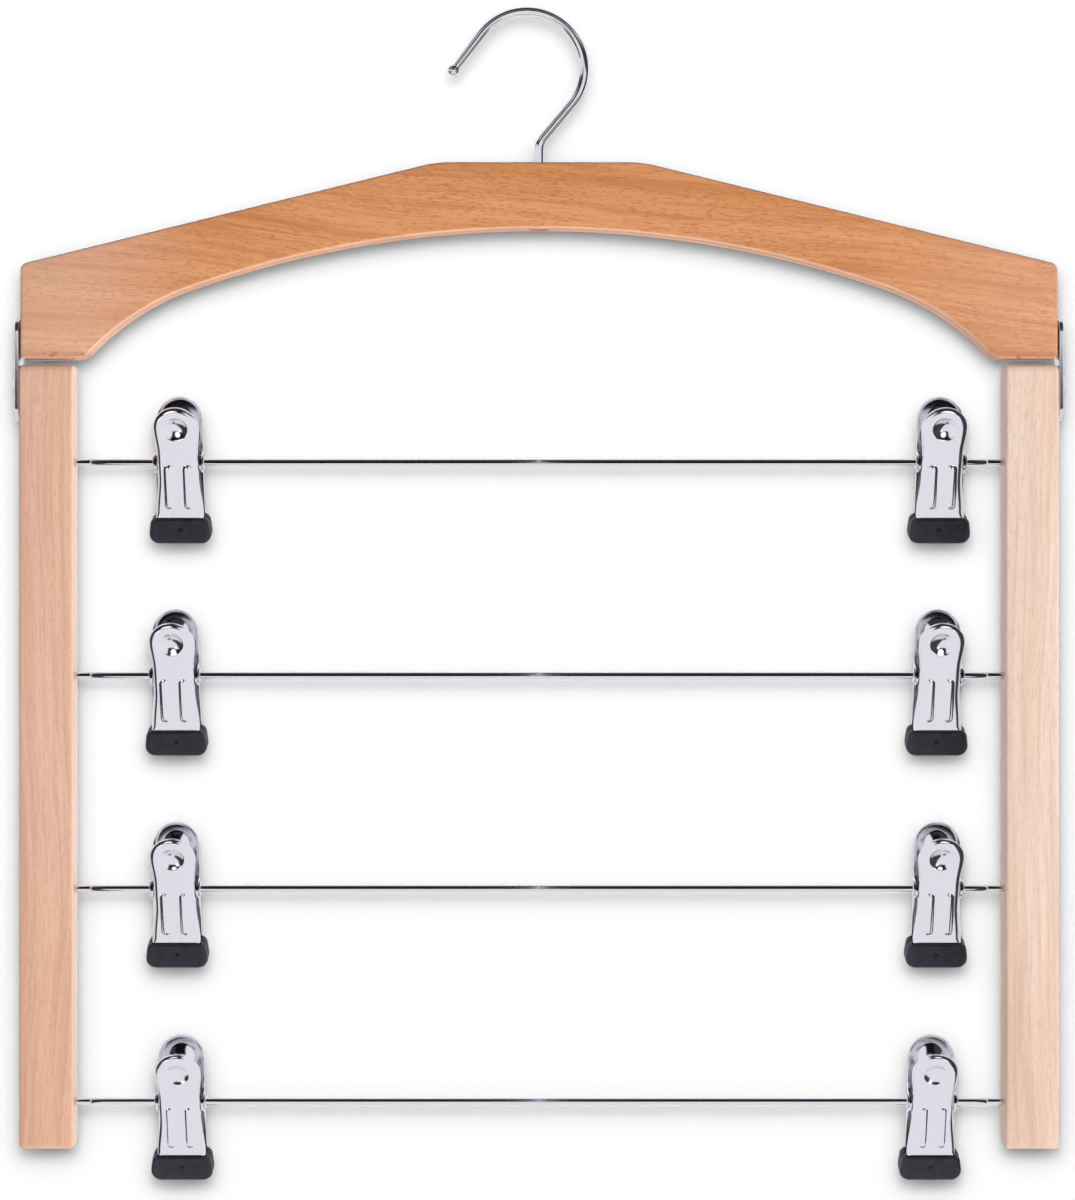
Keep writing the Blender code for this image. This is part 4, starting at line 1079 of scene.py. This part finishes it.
def wall_material():
    """Far wall: white where its lamps reach it, grey where the object shades it; clear from behind."""
    wall = Finish("shade_wall")
    reach = wall.node("VectorMath", {"operation": "LENGTH"}, {0: wall.place()}, output="Value")
    even = (1.0 + (reach * reach) / (WALL_Y - CAMERA_PLACE[1]) ** 2) ** 1.5
    lit = wall.node("BsdfDiffuse", None, {"Color": wall.mix(even * WALL_ALBEDO, BLACK, WHITE)})
    front = wall.node("AddShader", None, {0: lit, 1: wall.glow(WHITE, WALL_GLOW)})
    clear = wall.node("BsdfTransparent", None, {"Color": WHITE})
    behind = wall.node("NewGeometry", output="Backfacing")
    wall.surface(wall.node("MixShader", None, {0: behind, 1: front, 2: clear}))
    return wall.material


def floor_material():
    """Pale floor: white to the camera but for the object's soft shadow."""
    floor = Finish("pale_floor")
    open_share = floor.node("AmbientOcclusion", {"samples": 16}, {"Distance": 0.25}, output="AO")
    shine = floor.glow(floor.mix(floor.step(open_share, 0.3, 1.0), FLOOR_SHADE, WHITE), 1.0)
    matt = floor.node("BsdfDiffuse", None, {"Color": FLOOR_MATT})
    camera = floor.node("LightPath", output="Is Camera Ray")
    floor.surface(floor.node("MixShader", None, {0: camera, 1: matt, 2: shine}))
    return floor.material


def card_material(name, colour, strength=1.0):
    card = Finish(name)
    card.surface(card.glow(colour, strength))
    return card.material


def make_world():
    """White to the camera, soft light all round, and a studio for the metal to mirror."""
    world = bpy.data.worlds.new("studio")
    bpy.context.scene.world = world
    tree = Tree(world)
    toward = tree.node("TexCoord", output="Generated")
    x, y, z = (tree.part(toward, axis) for axis in ("X", "Y", "Z"))
    soft = tree.mix(tree.step(z, -0.7, 0.5), SOFT_LOW, SOFT_HIGH)
    dimmer, stronger = (tree.scaled(soft, (share,) * 3) for share in (0.5, 1.4))
    soft = tree.mix(tree.step(x, -1.0, 1.0), dimmer, stronger)
    ceiling = tree.step(z, 0.58, 0.70) * tree.step(y, 0.35, 0.15)
    sides = tree.step(abs(x), 0.72, 0.80) * tree.step(y, 0.75, 0.60)
    stem_glow = tree.step(x, -0.70, -0.78) * tree.step(abs(z), 0.26, 0.20)
    dark = tree.node("Clamp", None, {0: ceiling + sides - stem_glow})
    mirrored = tree.mix(dark, STUDIO_PALE, STUDIO_DARK)
    glossy = tree.node("LightPath", output="Is Glossy Ray")
    camera = tree.node("LightPath", output="Is Camera Ray")
    colour = tree.mix(camera, tree.mix(glossy, soft, mirrored), WHITE)
    sky = tree.node("Background", None, {"Color": colour, "Strength": 1.0})
    tree.surface(sky, "OutputWorld")


def add_lamp(name, kind, place, power, colour):
    data = bpy.data.lights.new(name, kind)
    data.energy = power
    data.color = colour
    made = add_object(name, data, place)
    made.visible_glossy = False
    return made


def soft_lamp(name, place, aim, size, power, colour):
    """Square studio lamp turned toward a point."""
    made = add_lamp(name, "AREA", place, power, colour)
    made.data.shape = "SQUARE"
    made.data.size = size
    made.rotation_mode = "QUATERNION"
    made.rotation_quaternion = (Vector(aim) - Vector(place)).to_track_quat("-Z", "Y")


def shine_only_on(source, objects):
    lit = bpy.data.collections.new(source.name + "_reaches")
    for obj in objects:
        lit.objects.link(obj)
    source.light_linking.receiver_collection = lit


def make_shade():
    """Soft shadow just below and around the object, on a far wall with small lamps of its own."""
    eye = Vector(CAMERA_PLACE)
    centre = (eye.x, WALL_Y, eye.z - WALL_DROP)
    wall = stage_plane("shade_wall", centre, (0, -1, 0), WALL_SIZE, wall_material())
    seen_only_by(wall, "camera")
    shift = 1 + eye.y / (WALL_Y - eye.y)
    place = eye + Vector((0.0, 0.0, SHADOW_DROP / shift))
    for i, (blur, share) in enumerate(SHADOW_BLURS):
        lamp = add_lamp("shade_lamp_%d" % i, "POINT", place, share * SHADE_POWER, WHITE)
        lamp.data.shadow_soft_size = blur / shift
        shine_only_on(lamp, [wall])


def add_card(name, centre, facing, size, material, mirrored_by=None, round_edge=False):
    """Glowing card that shows in reflections alone: those of all pieces or of some."""
    card = stage_plane(name, centre, facing, size, material, round_edge)
    seen_only_by(card, "glossy")
    if mirrored_by:
        shine_only_on(card, mirrored_by)


def make_cards():
    """Cards for the metal to mirror; some are for a few pieces alone."""
    pieces = [obj for obj in bpy.context.scene.objects if obj.type == "MESH"]
    hook = [bpy.data.objects["wire_hook"]]
    straps = [obj for obj in pieces if obj.name.startswith(("steel_strap", "domed_pivot", "fixing_screw"))]
    front_jaws = [obj for obj in pieces if obj.name.endswith("front_jaw")]
    no_back_jaws = [obj for obj in pieces if not obj.name.endswith("back_jaw")]
    plain = card_material("plain_card", STUDIO_PALE)
    bright = card_material("bright_card", WHITE, 1.35)
    dark = card_material("dark_card", STUDIO_DARK)
    rosy = card_material("rosy_card", STUDIO_ROSY)
    ahead, right = (0, 1, 0), (1, 0, 0)
    add_card("hook_card", (-0.35, -0.15, -0.02), right, (0.50, 0.22), plain, hook)
    for name, z, height, material, mirrored_by in (
            ("front_card", -0.185, 0.47, plain, hook + straps),
            ("lower_card", -0.46, 0.08, plain, no_back_jaws),
            ("upper_card", 0.175, 0.25, dark, None)):
        add_card(name, (0.0, FRONT_CARD_Y, z), ahead, (FRONT_CARD_WIDTH, height), material, mirrored_by)
    add_card("middle_card", (ARCH_X, -0.10, -0.36), right, (0.80, 0.50), plain)
    for side_name, side in SIDES.items():
        inward = (-side, 0, 0)
        by_strap = (ARCH_X + side * 0.30, 0.0, -0.15)
        add_card("strap_card_" + side_name, by_strap, inward, (0.24, 0.24), plain, straps)
        for name, y, width, material in (("rail_card_", -0.0185, 0.027, dark),
                                         ("rail_glow_", 0.006, 0.02, rosy)):
            by_rail = (ARCH_X + side * RAIL_CARD_REACH, y, RAIL_CARD_Z)
            add_card(name + side_name, by_rail, inward, (width, RAIL_CARD_HEIGHT), material)
        above = (side * 0.245, -0.30, -0.215)
        add_card("round_card_" + side_name, above, ahead, (0.22, 0.22), bright, front_jaws, round_edge=True)
        below = (side * 0.40, -0.33, -0.42)
        add_card("softbox_" + side_name, below, (-side * 0.6, 0.74, 0.37), (0.12, 0.12), bright)


def make_stage():
    make_cards()
    make_shade()
    floor = stage_plane("floor", (0.0, -0.85, -0.50), (0, 0, 1), (2.0, 2.0), floor_material())
    seen_only_by(floor, "camera")
    middle = (0.0, 0.0, -0.25)
    soft_lamp("key", (1.1, -1.3, 0.1), middle, 0.9, 9.0, (1.0, 0.99, 0.97))
    soft_lamp("fill", (-1.2, -1.4, -0.3), middle, 1.0, 3.5, (0.97, 0.98, 1.0))


def make_camera():
    data = bpy.data.cameras.new("camera")
    data.lens = CAMERA_LENS
    data.shift_y = CAMERA_SHIFT_Y
    made = add_object("camera", data, CAMERA_PLACE)
    made.rotation_euler = (math.pi / 2, 0.0, 0.0)
    bpy.context.scene.camera = made


make_object()
make_world()
make_stage()
make_camera()
bpy.context.scene.view_settings.view_transform = "Standard"
